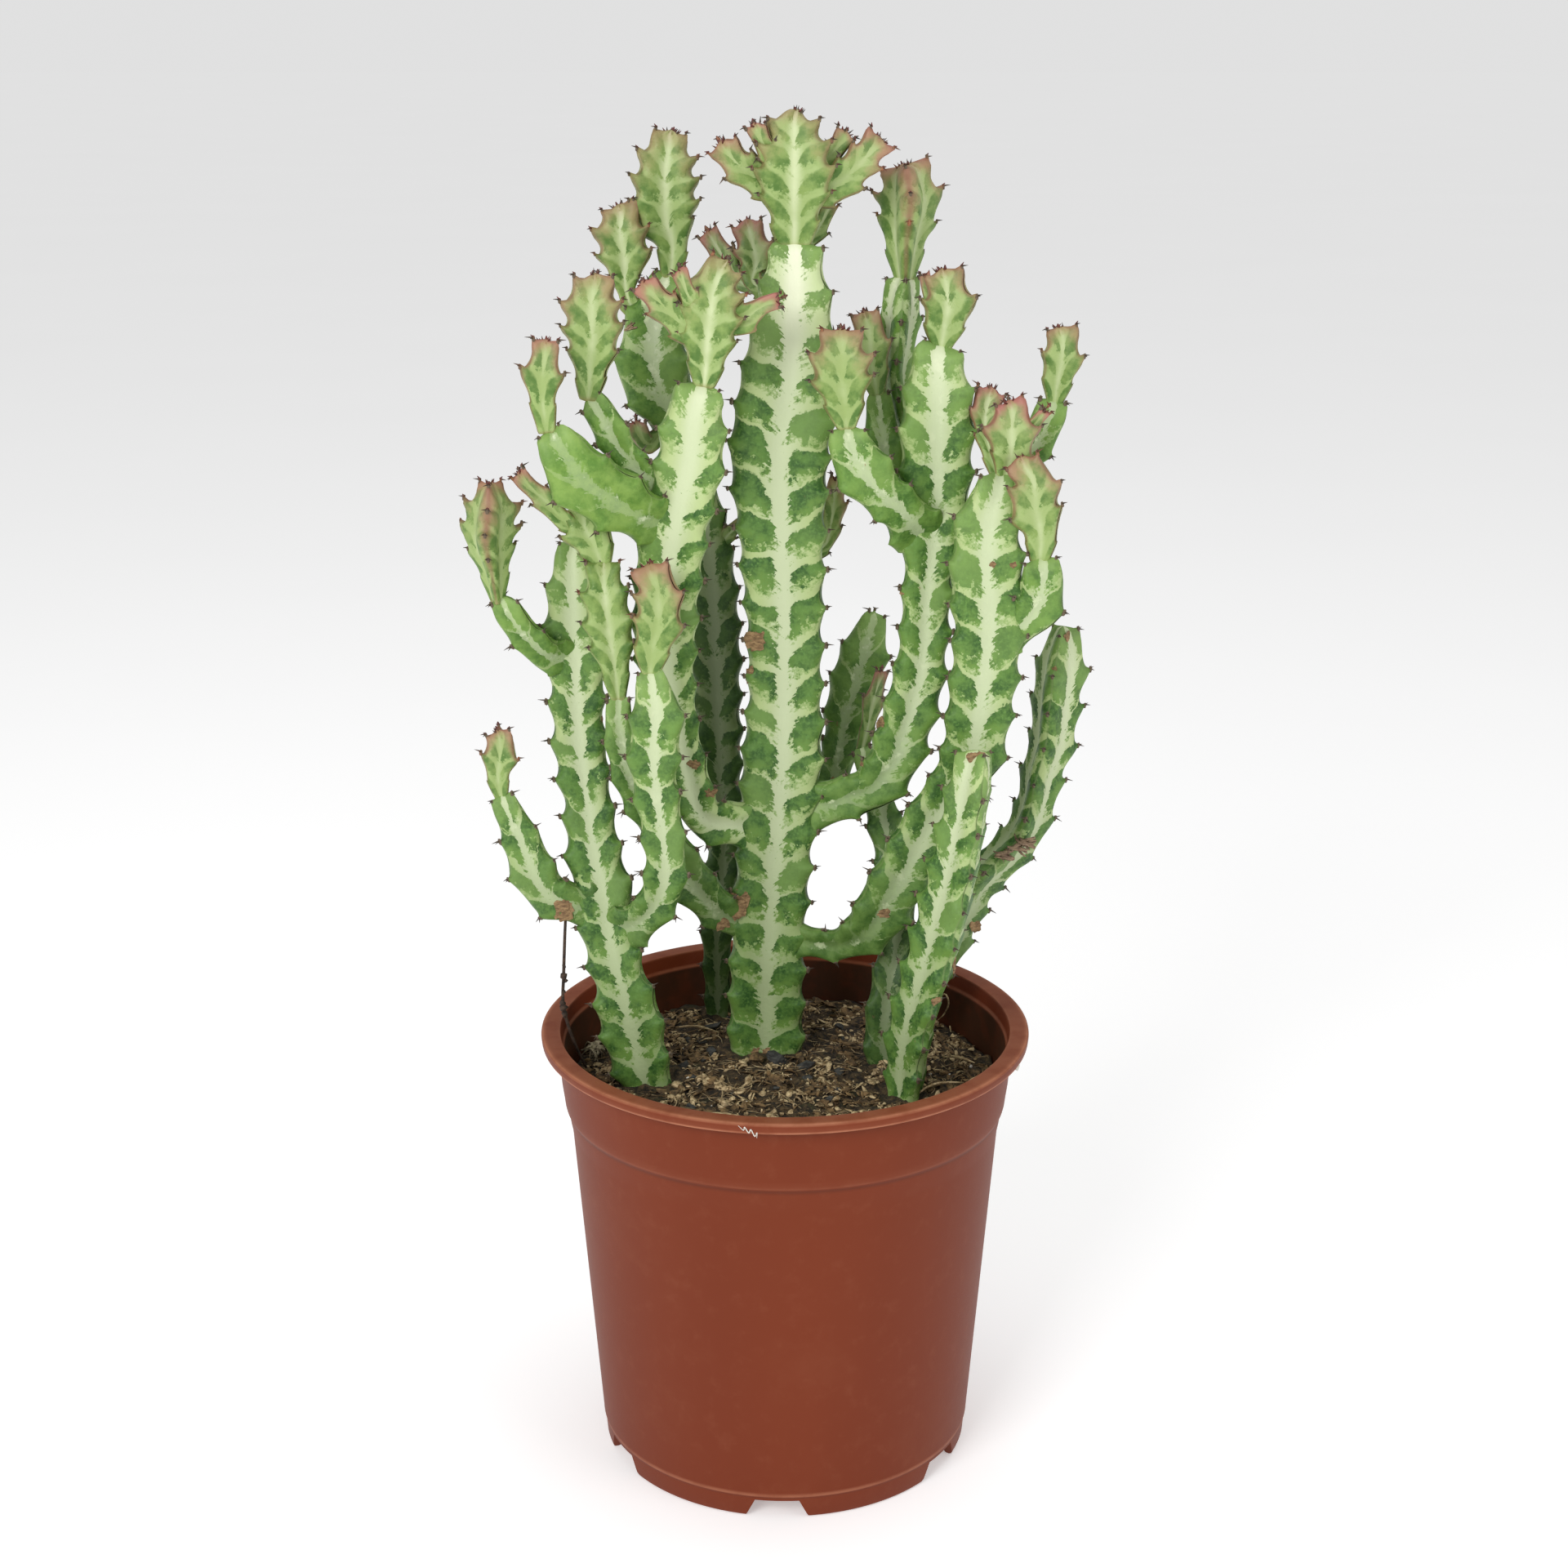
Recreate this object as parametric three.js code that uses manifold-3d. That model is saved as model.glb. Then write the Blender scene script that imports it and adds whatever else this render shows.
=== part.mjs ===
// A potted candelabra euphorbia with marbled three-ribbed stems, standing in a
// tapered nursery pot of brown plastic. Millimetres, +Z up, origin on the pot's
// axis at the level the pot stands on, -Y towards the viewer.
import * as THREE from 'three';
import { mergeVertices } from 'three/addons/utils/BufferGeometryUtils.js';
import Module from 'manifold-3d';

const wasm = await Module();
wasm.setup();

// Pot
const RIM_RADIUS = 85;
const POT_HEIGHT = 156.6;
const WALL = 1.4;
const RIM_SKIRT = 3.8;
const RIM_LIP = 7;
const EDGE_ROUND = 1;
const COLLAR_TOP_RADIUS = 79.6;
const COLLAR_LOW_RADIUS = 77.1;
const COLLAR_LOW_Z = 129;
const STEP_RADIUS = 75.1;
const STEP_Z = 123.5;
const INNER_LEDGE = 1;
const FOOT_RADIUS = 65.3;
const FOOT_FLARE = 0.4;
const FOOT_RING = 3;
const FOOT_TAPER = 2;
const FOOT_TOP = 8.5;
const BASE_PLATE = 2;
const NOTCHES = 6;
const NOTCH_HEIGHT = 7;
const NOTCH_TOP_WIDTH = 15.6;
const NOTCH_FOOT_WIDTH = 22;
const NOTCH_TURN = -2.4;
const DRAIN_RADIUS = 4;
const DRAIN_RING = 38;
const DRAIN_SIDES = 12;
const POT_SIDES = 40;

// Soil
const SOIL_TOP = 135.5;
const SOIL_MOUND = 2.5;
const LUMP_HEIGHT = 0.5;
const SOIL_RINGS = 5;
const SOIL_SIDES = 24;
const CLEARANCE = 0.3;

// Stems
const RIBS = 3;
const RING_SIDES = 6;
const FACE_DEPTH = 0.44;
const HALF_WIDTH_TO_CREST = 1.2;
const STEM_PITCH = 12.8;
const BUD_PITCH = 11;
const STEM_NOTCH = 1.7;
const STEM_NOTCH_SHARE = 0.15;
const BUD_NOTCH = 2.6;
const BUD_NOTCH_SHARE = 0.22;
const SPINE_LENGTH = 4;
const SPINE_RADIUS = 0.7;
const SPINE_ROOT = 2;
const SPINE_LIFT = 0.35;

// Every axis is a list of [x, y, z, half width seen from the front], from its
// root inside the parent to its tip. `turn` rolls the ribs about the axis in
// degrees: at 0 a flat face looks forwards, at 60 a rib does.
const CENTRE = {
  trunk: { points: [[-7, 25, 112, 12.5], [-7, 25, 134, 13.5], [-6, 23, 179, 13.5],
    [-3, 21, 222, 13.5], [-1, 20, 250, 14], [0, 19, 279, 13], [-1, 17, 325, 14.5],
    [-2, 16, 352, 16.5], [0, 16, 370, 16.5], [2, 15, 391, 14.5], [3, 15, 409, 11.5],
    [3, 15, 424, 8]] },
  crown: { bud: true, points: [[3, 15, 421, 6], [3, 15, 433, 9.5], [3, 15, 442, 13],
    [3, 15, 452, 12], [3, 15, 461, 8.5], [4, 15, 465, 6]] },
  crownLeft: { bud: true, points: [[0, 15, 441, 6], [-7, 14, 443, 6.5], [-15, 13, 448, 6],
    [-21, 12, 455, 4.5]] },
  crownRight: { bud: true, points: [[5, 15, 439, 5.5], [15, 16, 441, 6.5], [23, 17, 447, 6.5],
    [31, 18, 456, 5]] },
  crownProngLeft: { bud: true, points: [[0, 13, 448, 4], [-6, 11, 453, 4], [-10, 9, 461, 3]] },
  crownProngRight: { bud: true, points: [[8, 17, 447, 4], [15, 19, 451, 4], [20, 21, 458, 3]] },
  crownBack: { bud: true, points: [[6, 20, 422, 3], [11, 26, 427, 3.5], [15, 30, 434, 2]] },
  backBudTall: { bud: true, points: [[-3, 20, 405, 3.5], [-10, 30, 409, 4], [-10, 34, 417, 7],
    [-13, 36, 429, 4]] },
  backBudLow: { bud: true, points: [[-8, 29, 407, 3], [-15, 33, 409, 3], [-20, 36, 416, 5],
    [-26, 38, 425, 3]] },
  rearBud: { bud: true, points: [[0, 20, 313, 2.5], [13, 34, 319, 3], [16, 38, 328, 4.5],
    [17, 40, 336, 4.5], [18, 41, 341, 2.5]] },
  rearArm: { points: [[-2, 26, 215, 5], [14, 43, 226, 6], [20, 55, 242, 7], [23, 57, 257, 9],
    [27, 58, 271, 9.5], [30, 58, 282, 7], [32, 58, 290, 3]] },
  leftArm: { points: [[-7, 20, 223, 11], [-19, 15, 226, 9], [-28, 11, 230, 8], [-32, 9, 241, 7.5],
    [-35, 7, 258, 7], [-38, 5, 274, 8.5], [-40, 3, 293, 11], [-39, 1, 313, 11.5],
    [-36, 0, 334, 11.5], [-31, -3, 355, 11.5], [-29, -6, 371, 10.5], [-26, -8, 381, 7]] },
  leftArmBud: { bud: true, points: [[-26, -8, 379, 3.5], [-25, -9, 389, 7], [-24, -10, 400, 10.5],
    [-22, -11, 412, 9.5], [-20, -11, 417, 6.5], [-18, -11, 420, 3.5]] },
  leftBudArmLeft: { bud: true, points: [[-25, -10, 396, 5], [-31, -12, 399, 5.5],
    [-38, -14, 406, 5.5], [-45, -16, 414, 4]] },
  leftBudProng: { bud: true, points: [[-26, -12, 404, 3], [-30, -15, 409, 3.5],
    [-33, -18, 418, 2.5]] },
  leftBudArmRight: { bud: true, points: [[-20, -10, 400, 5], [-13, -11, 402, 5],
    [-7, -12, 406, 3.5], [-2, -13, 408, 2]] },
  sideArm: { points: [[-36, -1, 343, 9], [-44, -4, 349, 6], [-52, -6, 358, 5.5],
    [-57, -8, 367, 6], [-60, -9, 373, 5], [-63, -10, 377, 3]] },
  sideArmBud: { bud: true, points: [[-63, -10, 375, 3], [-62, -10, 385, 6], [-61, -10, 396, 9.5],
    [-61, -10, 407, 9.5], [-60, -10, 413, 6.5], [-60, -10, 416, 3.5]] },
  frontArm: { points: [[-38, -1, 334, 8.5], [-46, -7, 338, 9], [-56, -15, 346, 11],
    [-65, -21, 354, 11], [-70, -24, 362, 9], [-74, -25, 369, 3.5]] },
  frontArmBud: { bud: true, points: [[-75, -25, 367, 3], [-76, -25, 377, 4.5], [-76, -25, 385, 7],
    [-75, -25, 393, 5], [-75, -25, 397, 3]] },
  lowArm: { points: [[-8, 22, 186, 10], [-20, 17, 191, 7.5], [-28, 12, 200, 8], [-36, 8, 213, 8],
    [-43, 3, 228, 7], [-49, -2, 240, 6.5], [-53, -7, 253, 6], [-55, -11, 268, 5.5],
    [-55, -13, 279, 3]] },
  lowArmSecond: { bud: true, points: [[-55, -13, 276, 2.5], [-56, -13, 289, 5.5],
    [-57, -13, 298, 8], [-58, -14, 308, 8.5], [-59, -13, 318, 7], [-59, -12, 324, 4]] },
  lowArmBud: { bud: true, points: [[-59, -12, 321, 3], [-62, -10, 329, 7.5], [-65, -8, 335, 8],
    [-67, -7, 342, 4.5]] },
  lowArmSideBud: { bud: true, points: [[-64, -9, 332, 2.5], [-72, -10, 337, 3.5],
    [-78, -11, 344, 4], [-83, -12, 349, 3.5], [-86, -12, 353, 2]] },
  rightArm: { points: [[3, 20, 232, 12], [12, 18, 232, 10], [21, 16, 235, 8], [30, 15, 239, 9],
    [37, 15, 248, 10], [41, 15, 260, 10], [45, 14, 276, 9.5], [47, 14, 292, 9], [48, 14, 312, 9],
    [50, 14, 333, 11], [50, 14, 353, 12.5], [50, 14, 372, 12], [50, 14, 386, 9],
    [51, 14, 391, 5.5]] },
  rightArmBud: { bud: true, points: [[51, 14, 388, 3], [52, 14, 397, 7.5], [53, 14, 404, 9],
    [52, 14, 411, 7], [51, 14, 415, 4]] },
  rightArmProng: { bud: true, points: [[50, 16, 400, 2.5], [47, 20, 407, 2.5],
    [46, 22, 412, 1.5]] },
  innerArm: { points: [[46, 12, 327, 11], [38, 5, 338, 8], [31, 0, 345, 8.5], [25, -3, 353, 9.5],
    [21, -4, 361, 7.5], [20, -5, 367, 3.5]] },
  innerArmBud: { bud: true, points: [[20, -5, 365, 3], [19, -5, 375, 7.5], [18, -5, 385, 11],
    [18, -5, 394, 8], [18, -5, 398, 4.5]] },
  rearRightArm: { points: [[44, 18, 334, 5.5], [37, 22, 343, 6], [33, 25, 357, 6.5],
    [32, 26, 366, 5.5], [31, 26, 373, 3.5]] },
  rearRightBud: { bud: true, points: [[31, 26, 371, 2.5], [29, 26, 383, 6.5], [28, 26, 393, 6.5],
    [26, 26, 400, 3.5]] },
  topArm: { turn: 60, points: [[51, 21, 343, 5.5], [46, 30, 352, 6], [40, 33, 364, 6], [37, 34, 377, 6],
    [38, 34, 390, 7], [39, 34, 402, 7], [40, 34, 411, 4]] },
  topArmBud: { bud: true, turn: 60, points: [[40, 34, 408, 3.5], [40, 34, 422, 8],
    [41, 34, 434, 11.5], [40, 34, 443, 9.5], [39, 34, 447, 5]] },
  tallArm: { points: [[-2, 22, 182, 10], [11, 16, 181, 6], [21, 11, 183, 6.5], [30, 7, 191, 9.5],
    [36, 4, 203, 10.5], [42, 2, 215, 10.5], [49, 1, 230, 10], [58, -1, 245, 10], [63, -3, 258, 11],
    [65, -4, 274, 11.5], [67, -5, 299, 12], [66, -5, 319, 12.5], [66, -5, 335, 11],
    [69, -5, 346, 7.5], [70, -5, 352, 3.5]] },
  tallArmBud: { bud: true, points: [[71, -5, 349, 3], [73, -5, 357, 7], [73, -5, 366, 9.5],
    [73, -5, 372, 6], [72, -5, 375, 3.5]] },
  tallArmProng: { bud: true, points: [[74, -5, 362, 3], [79, -6, 366, 3], [84, -7, 372, 1.5]] },
  tallArmRearBud: { bud: true, points: [[70, 0, 349, 3], [66, 8, 362, 4], [66, 11, 370, 6],
    [68, 12, 377, 3.5]] },
  outerArm: { points: [[67, -6, 295, 9], [76, -8, 300, 6.5], [82, -9, 307, 8], [84, -10, 316, 8],
    [84, -10, 325, 4]] },
  outerArmBud: { bud: true, points: [[83, -10, 322, 3], [83, -10, 333, 6.5], [81, -10, 341, 9],
    [80, -10, 350, 8], [77, -10, 355, 5.5], [76, -10, 358, 3]] },
  outerRearArm: { points: [[69, 0, 343, 4], [75, 10, 351, 5.5], [83, 14, 358, 6], [87, 16, 366, 6],
    [89, 17, 372, 3.5]] },
  outerRearBud: { bud: true, points: [[89, 17, 369, 2.5], [90, 17, 379, 6], [91, 17, 385, 7],
    [91, 17, 392, 6], [90, 17, 396, 3.5]] },
};

const LEFT = {
  stem: { points: [[-47, -4, 112, 9], [-48, -4, 134, 9.5], [-51, -4, 147, 11], [-54, -3, 162, 11.5],
    [-57, -3, 175, 10], [-60, -2, 188, 10], [-62, -1, 205, 10.5], [-65, 0, 219, 10],
    [-67, 2, 236, 9], [-69, 4, 252, 9.5], [-70, 5, 269, 9.5], [-70, 6, 286, 10.5],
    [-71, 7, 299, 10], [-71, 8, 313, 8], [-71, 9, 321, 6], [-70, 9, 327, 2]] },
  highArm: { points: [[-70, 4, 287, 6], [-79, -1, 290, 6.5], [-85, -6, 297, 5.5],
    [-90, -10, 305, 5.5], [-93, -12, 312, 3]] },
  highArmBud: { bud: true, turn: 60, points: [[-94, -12, 309, 2.5], [-95, -13, 321, 6],
    [-96, -14, 332, 9.5], [-95, -14, 342, 9], [-95, -14, 347, 5], [-95, -14, 350, 3]] },
  lowArm: { points: [[-61, -2, 200, 10], [-72, -4, 203, 8], [-81, -6, 208, 8], [-86, -8, 218, 8],
    [-89, -9, 228, 6.5], [-93, -10, 238, 5], [-95, -10, 244, 2.5]] },
  lowArmBud: { bud: true, points: [[-95, -10, 241, 2], [-96, -10, 250, 4.5], [-95, -10, 258, 6.5],
    [-95, -10, 263, 4.5], [-96, -10, 266, 2.5]] },
  frontArm: { points: [[-58, -3, 192, 10], [-48, -9, 200, 7.5], [-42, -14, 210, 7.5],
    [-40, -17, 221, 7.5], [-41, -19, 236, 7.5], [-43, -20, 251, 8], [-43, -21, 262, 9],
    [-42, -22, 275, 9], [-43, -22, 284, 6.5], [-44, -22, 290, 3]] },
  frontArmBud: { bud: true, points: [[-44, -22, 287, 3], [-43, -22, 297, 6.5], [-41, -22, 306, 8.5],
    [-41, -22, 316, 8], [-43, -22, 322, 6.5], [-44, -22, 325, 3.5]] },
};

const FRONT_RIGHT = {
  stem: { turn: -42, points: [[39, -18, 112, 6.5], [42, -18, 137, 7], [43, -18, 153, 8.5],
    [45.5, -19, 168, 9], [50, -20, 185, 9.5], [53.5, -21, 200, 9.8], [56.5, -22, 215, 9.4],
    [59, -23, 230, 9], [61, -23, 244, 8.2], [62.5, -24, 255, 7.6], [63.5, -24, 263, 4.5]] },
};

const BACK_LEFT = {
  stem: { points: [[-26, 58, 112, 5], [-25, 58, 137, 5], [-25, 57, 169, 6], [-22, 56, 205, 7],
    [-23, 55, 222, 7.5], [-24, 54, 243, 9], [-25, 52, 288, 9.5], [-26, 51, 309, 8.5],
    [-29, 51, 328, 8], [-32, 50, 343, 6], [-36, 50, 353, 4]] },
  second: { points: [[-35, 50, 349, 4], [-39, 50, 361, 9], [-44, 50, 375, 13], [-45, 50, 388, 11.5],
    [-43, 50, 400, 8.5], [-40, 50, 410, 4]] },
  topBud: { bud: true, points: [[-39, 50, 407, 3.5], [-38, 50, 419, 6], [-40, 50, 429, 11],
    [-40, 50, 442, 11.5], [-39, 50, 451, 8.5], [-38, 50, 457, 4.5]] },
  sideBud: { bud: true, points: [[-46, 49, 393, 4], [-52, 48, 399, 3.5], [-54, 47, 406, 4],
    [-54, 46, 415, 9], [-55, 46, 424, 9.5], [-55, 46, 430, 7], [-56, 46, 433, 4]] },
  smallBud: { bud: true, points: [[-42, 48, 356, 3], [-47, 45, 353, 3.5], [-50, 43, 357, 4],
    [-51, 42, 361, 2]] },
  sideTwig: { bud: true, points: [[-27, 50, 304, 3], [-26, 49, 311, 3], [-21, 48, 319, 3],
    [-16, 47, 324, 3], [-13, 46, 326, 1.5]] },
};

const BACK_RIGHT = {
  stem: { points: [[36, 12, 112, 7], [36, 12, 135, 7.5], [35, 13, 150, 7.5], [37, 16, 165, 7],
    [39, 20, 177, 6.5], [40, 25, 191, 7], [39, 30, 204, 7], [36, 34, 217, 6.5], [33, 37, 228, 6],
    [29, 39, 238, 4], [27, 40, 246, 3]] },
  bud: { bud: true, points: [[27, 40, 243, 2.5], [29, 40, 252, 3], [31, 40, 262, 4],
    [34, 40, 273, 2]] },
  farArm: { turn: 42, points: [[39, 17, 156, 5], [48, 17, 164, 6.5], [55, 18, 175, 7.5],
    [61, 18, 189, 8], [67, 20, 201, 8], [76, 21, 210, 7.5], [83, 21, 219, 7.5], [87, 21, 230, 7.5],
    [89, 21, 241, 8], [92, 21, 253, 8.5], [93, 21, 266, 9], [94.3, 21, 279, 9], [95, 21, 288, 6.5],
    [95, 21, 294, 2.5]] },
};

// A thin dry root that hangs from a tooth of the left stem down to the soil.
const ROOT_RADIUS = 0.6;
const ROOT_SIDES = 5;
const ROOT_STEPS = 24;
const DRY_ROOT = [[-74.5, -4, 204], [-75, -6, 200], [-75.3, -8.5, 194], [-75.6, -10, 187], [-76, -11, 178],
  [-76.3, -12, 169], [-74.8, -10, 159], [-72.6, -5, 149], [-70, 1, 140]];

function material(color, roughness) {
  return new THREE.MeshStandardMaterial({ color, roughness, metalness: 0 });
}

const PLASTIC = material(0x83401f, 0.45);
const EARTH = material(0x4a3829, 0.95);
const GREEN = material(0x5d8f45, 0.5);
const SHADED_GREEN = material(0x3a6030, 0.5);

function toSolid(geometry) {
  const bare = geometry.clone();
  bare.deleteAttribute('normal');
  bare.deleteAttribute('uv');
  const merged = mergeVertices(bare, 1e-4);
  return new wasm.Manifold(new wasm.Mesh({
    numProp: 3,
    vertProperties: new Float32Array(merged.attributes.position.array),
    triVerts: new Uint32Array(merged.index.array),
  }));
}

function toMesh(name, solid, look) {
  const { vertProperties, triVerts } = solid.getMesh();
  const geometry = new THREE.BufferGeometry();
  geometry.setAttribute('position', new THREE.BufferAttribute(vertProperties, 3));
  geometry.setIndex(new THREE.BufferAttribute(triVerts, 1));
  geometry.computeVertexNormals();
  const mesh = new THREE.Mesh(geometry, look);
  mesh.name = name;
  return mesh;
}

function smoothCurve(points) {
  const places = points.map(([x, y, z]) => new THREE.Vector3(x, y, z));
  return new THREE.CatmullRomCurve3(places, false, 'catmullrom', 0.5);
}

// The axis as a smooth curve with the half width carried along it.
function readAxis(points) {
  const curve = smoothCurve(points);
  const last = points.length - 1;
  const halfWidth = (t) => {
    const at = Math.min(t * last, last - 1e-9);
    const i = Math.floor(at);
    return THREE.MathUtils.lerp(points[i][3], points[i + 1][3], at - i);
  };
  return { curve, halfWidth, length: curve.getLength() };
}

// Position, sideways and outward directions of the ribs at parameter t.
function frameAt(curve, t, turn = 0) {
  const along = curve.getTangent(t);
  const front = new THREE.Vector3(0, -1, 0).addScaledVector(along, along.y).normalize();
  const side = new THREE.Vector3().crossVectors(along, front);
  const roll = THREE.MathUtils.degToRad(60 + turn);
  const outward = (angle) => new THREE.Vector3()
    .addScaledVector(front, Math.cos(angle + roll))
    .addScaledVector(side, Math.sin(angle + roll));
  return { at: curve.getPoint(t), along, outward };
}

// Rings stand at equal steps along a stem. Odd ones carry the teeth and even
// ones lie in the notches between.
function ringCount({ bud }, length) {
  return Math.max(3, 2 * Math.round(length / (bud ? BUD_PITCH : STEM_PITCH)));
}

function notchAt({ bud }, level, crest) {
  if (level % 2 === 1) return 0;
  const [deepest, share] = bud ? [BUD_NOTCH, BUD_NOTCH_SHARE] : [STEM_NOTCH, STEM_NOTCH_SHARE];
  return Math.min(deepest, crest * share);
}

// A three-ribbed stem: a cylinder bent along its axis. `grow` swells it all
// round, and down.
function ribbedStem(axis, grow = 0) {
  const { curve, halfWidth, length } = readAxis(axis.points);
  const rings = ringCount(axis, length);
  const geometry = new THREE.CylinderGeometry(1, 1, 1, RING_SIDES, rings);
  const place = geometry.attributes.position;
  for (let i = 0; i < place.count; i += 1) {
    const level = Math.round((place.getY(i) + 0.5) * rings);
    const t = curve.getUtoTmapping(level / rings);
    const { at, outward } = frameAt(curve, t, axis.turn);
    const crest = halfWidth(t) * HALF_WIDTH_TO_CREST;
    const angle = Math.atan2(place.getX(i), place.getZ(i));
    const side = Math.round((angle / (2 * Math.PI)) * RING_SIDES);
    const onCrest = side % (RING_SIDES / RIBS) === 0;
    const radius = onCrest ? crest - notchAt(axis, level, crest) : crest * FACE_DEPTH;
    const onAxis = Math.hypot(place.getX(i), place.getZ(i)) < 0.5;
    const point = at.addScaledVector(outward(angle), onAxis ? 0 : radius + grow);
    if (level === 0) point.z -= grow;
    place.setXYZ(i, point.x, point.y, point.z);
  }
  return geometry;
}

function spine(curve, t, turn, rib, crest) {
  const { at, along, outward } = frameAt(curve, t, turn);
  const out = outward((rib * 2 * Math.PI) / RIBS);
  const aim = out.clone().addScaledVector(along, SPINE_LIFT).normalize();
  const cone = new THREE.ConeGeometry(SPINE_RADIUS, SPINE_LENGTH + SPINE_ROOT, 3);
  cone.translate(0, (SPINE_LENGTH - SPINE_ROOT) / 2, 0);
  cone.applyQuaternion(new THREE.Quaternion().setFromUnitVectors(new THREE.Vector3(0, 1, 0), aim));
  const foot = at.addScaledVector(out, crest);
  return toSolid(cone.translate(foot.x, foot.y, foot.z));
}

// Spines on every rib of the last tooth, and below it on one rib of each
// tooth, the ribs taking turns and every second turn left bare.
function spines(axis) {
  const { curve, halfWidth, length } = readAxis(axis.points);
  const rings = ringCount(axis, length);
  const ribs = [...Array(RIBS).keys()];
  const made = [];
  for (let level = rings - 1, turnTaken = 0; level > 2; level -= 2, turnTaken += 1) {
    const t = curve.getUtoTmapping(level / rings);
    if (curve.getPoint(t).z < SOIL_TOP + SPINE_LENGTH) break;
    const crest = halfWidth(t) * HALF_WIDTH_TO_CREST;
    const bearing = turnTaken ? ribs.filter((rib) => 2 * rib === turnTaken % (2 * RIBS)) : ribs;
    made.push(...bearing.map((rib) => spine(curve, t, axis.turn, rib, crest)));
  }
  return made;
}

function dryRoot() {
  const round = new THREE.Path().absarc(0, 0, ROOT_RADIUS, 0, 2 * Math.PI);
  const section = new THREE.Shape(round.getPoints(ROOT_SIDES).slice(0, ROOT_SIDES));
  const settings = { steps: ROOT_STEPS, extrudePath: smoothCurve(DRY_ROOT), bevelEnabled: false };
  return toSolid(new THREE.ExtrudeGeometry(section, settings));
}

function growPlant(axes) {
  const pieces = Object.values(axes).flatMap((axis) => [toSolid(ribbedStem(axis)), ...spines(axis)]);
  return pieces.reduce((whole, piece) => whole.add(piece));
}

// Pot profile from the base plate's centre, out and up the outside, and back down.
function potProfile() {
  const plateFoot = FOOT_TOP - BASE_PLATE;
  const ringInside = FOOT_RADIUS - FOOT_RING;
  const skirtFoot = POT_HEIGHT - RIM_SKIRT;
  const lipRadius = RIM_RADIUS - RIM_LIP;
  const outside = [
    [0, plateFoot],
    [ringInside - FOOT_TAPER, plateFoot],
    [ringInside, 0],
    [FOOT_RADIUS - EDGE_ROUND, 0],
    [FOOT_RADIUS, EDGE_ROUND],
    [FOOT_RADIUS + FOOT_FLARE, FOOT_TOP],
    [STEP_RADIUS, STEP_Z],
    [COLLAR_LOW_RADIUS, COLLAR_LOW_Z],
    [COLLAR_TOP_RADIUS, skirtFoot - EDGE_ROUND / 2],
    [RIM_RADIUS - EDGE_ROUND / 2, skirtFoot],
    [RIM_RADIUS, POT_HEIGHT - EDGE_ROUND],
    [RIM_RADIUS - EDGE_ROUND, POT_HEIGHT],
  ];
  const inside = [
    [lipRadius + EDGE_ROUND / 2, POT_HEIGHT],
    [lipRadius, POT_HEIGHT - EDGE_ROUND],
    [lipRadius, skirtFoot - 2 * INNER_LEDGE],
    [COLLAR_TOP_RADIUS - WALL - INNER_LEDGE, skirtFoot - 3 * INNER_LEDGE],
    [COLLAR_LOW_RADIUS - WALL, COLLAR_LOW_Z],
    [STEP_RADIUS - WALL, STEP_Z],
    [FOOT_RADIUS - WALL, FOOT_TOP],
    [0, FOOT_TOP],
  ];
  return [...outside, ...inside].map(([r, z]) => new THREE.Vector2(r, z));
}

function upright(geometry) {
  return geometry.rotateX(Math.PI / 2);
}

// A tapered opening through the foot ring, wider at the floor than at its top.
function footNotch() {
  const low = -NOTCH_HEIGHT;
  const flare = NOTCH_FOOT_WIDTH - NOTCH_TOP_WIDTH;
  const section = new THREE.Shape([
    new THREE.Vector2(-NOTCH_TOP_WIDTH / 2, NOTCH_HEIGHT),
    new THREE.Vector2(-NOTCH_TOP_WIDTH / 2 - flare, low),
    new THREE.Vector2(NOTCH_TOP_WIDTH / 2 + flare, low),
    new THREE.Vector2(NOTCH_TOP_WIDTH / 2, NOTCH_HEIGHT),
  ]);
  const depth = FOOT_RADIUS / 3;
  const notch = new THREE.ExtrudeGeometry(section, { depth, bevelEnabled: false });
  return upright(notch).translate(0, depth / 2 - FOOT_RADIUS, 0);
}

function pot() {
  let body = toSolid(upright(new THREE.LatheGeometry(potProfile(), POT_SIDES)));
  const drill = [DRAIN_RADIUS, DRAIN_RADIUS, 2 * FOOT_TOP, DRAIN_SIDES];
  for (let i = 0; i < NOTCHES; i += 1) {
    const turn = THREE.MathUtils.degToRad(NOTCH_TURN + i * (360 / NOTCHES));
    const drain = upright(new THREE.CylinderGeometry(...drill));
    drain.translate(0, -DRAIN_RING, FOOT_TOP);
    drain.rotateZ(turn + Math.PI / NOTCHES);
    body = body.subtract(toSolid(footNotch().rotateZ(turn))).subtract(toSolid(drain));
  }
  return body;
}

// Uneven ground: gentle lumps made from a few crossed waves, higher in the middle.
function soilHeight(x, y) {
  const mound = SOIL_MOUND * (1 - (Math.hypot(x, y) / STEP_RADIUS) ** 2);
  const lumps = Math.sin(x * 0.31 + 1) * Math.cos(y * 0.27) + 0.6 * Math.sin(x * 0.13 - y * 0.21 + 2);
  return SOIL_TOP + mound + LUMP_HEIGHT * lumps;
}

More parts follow.
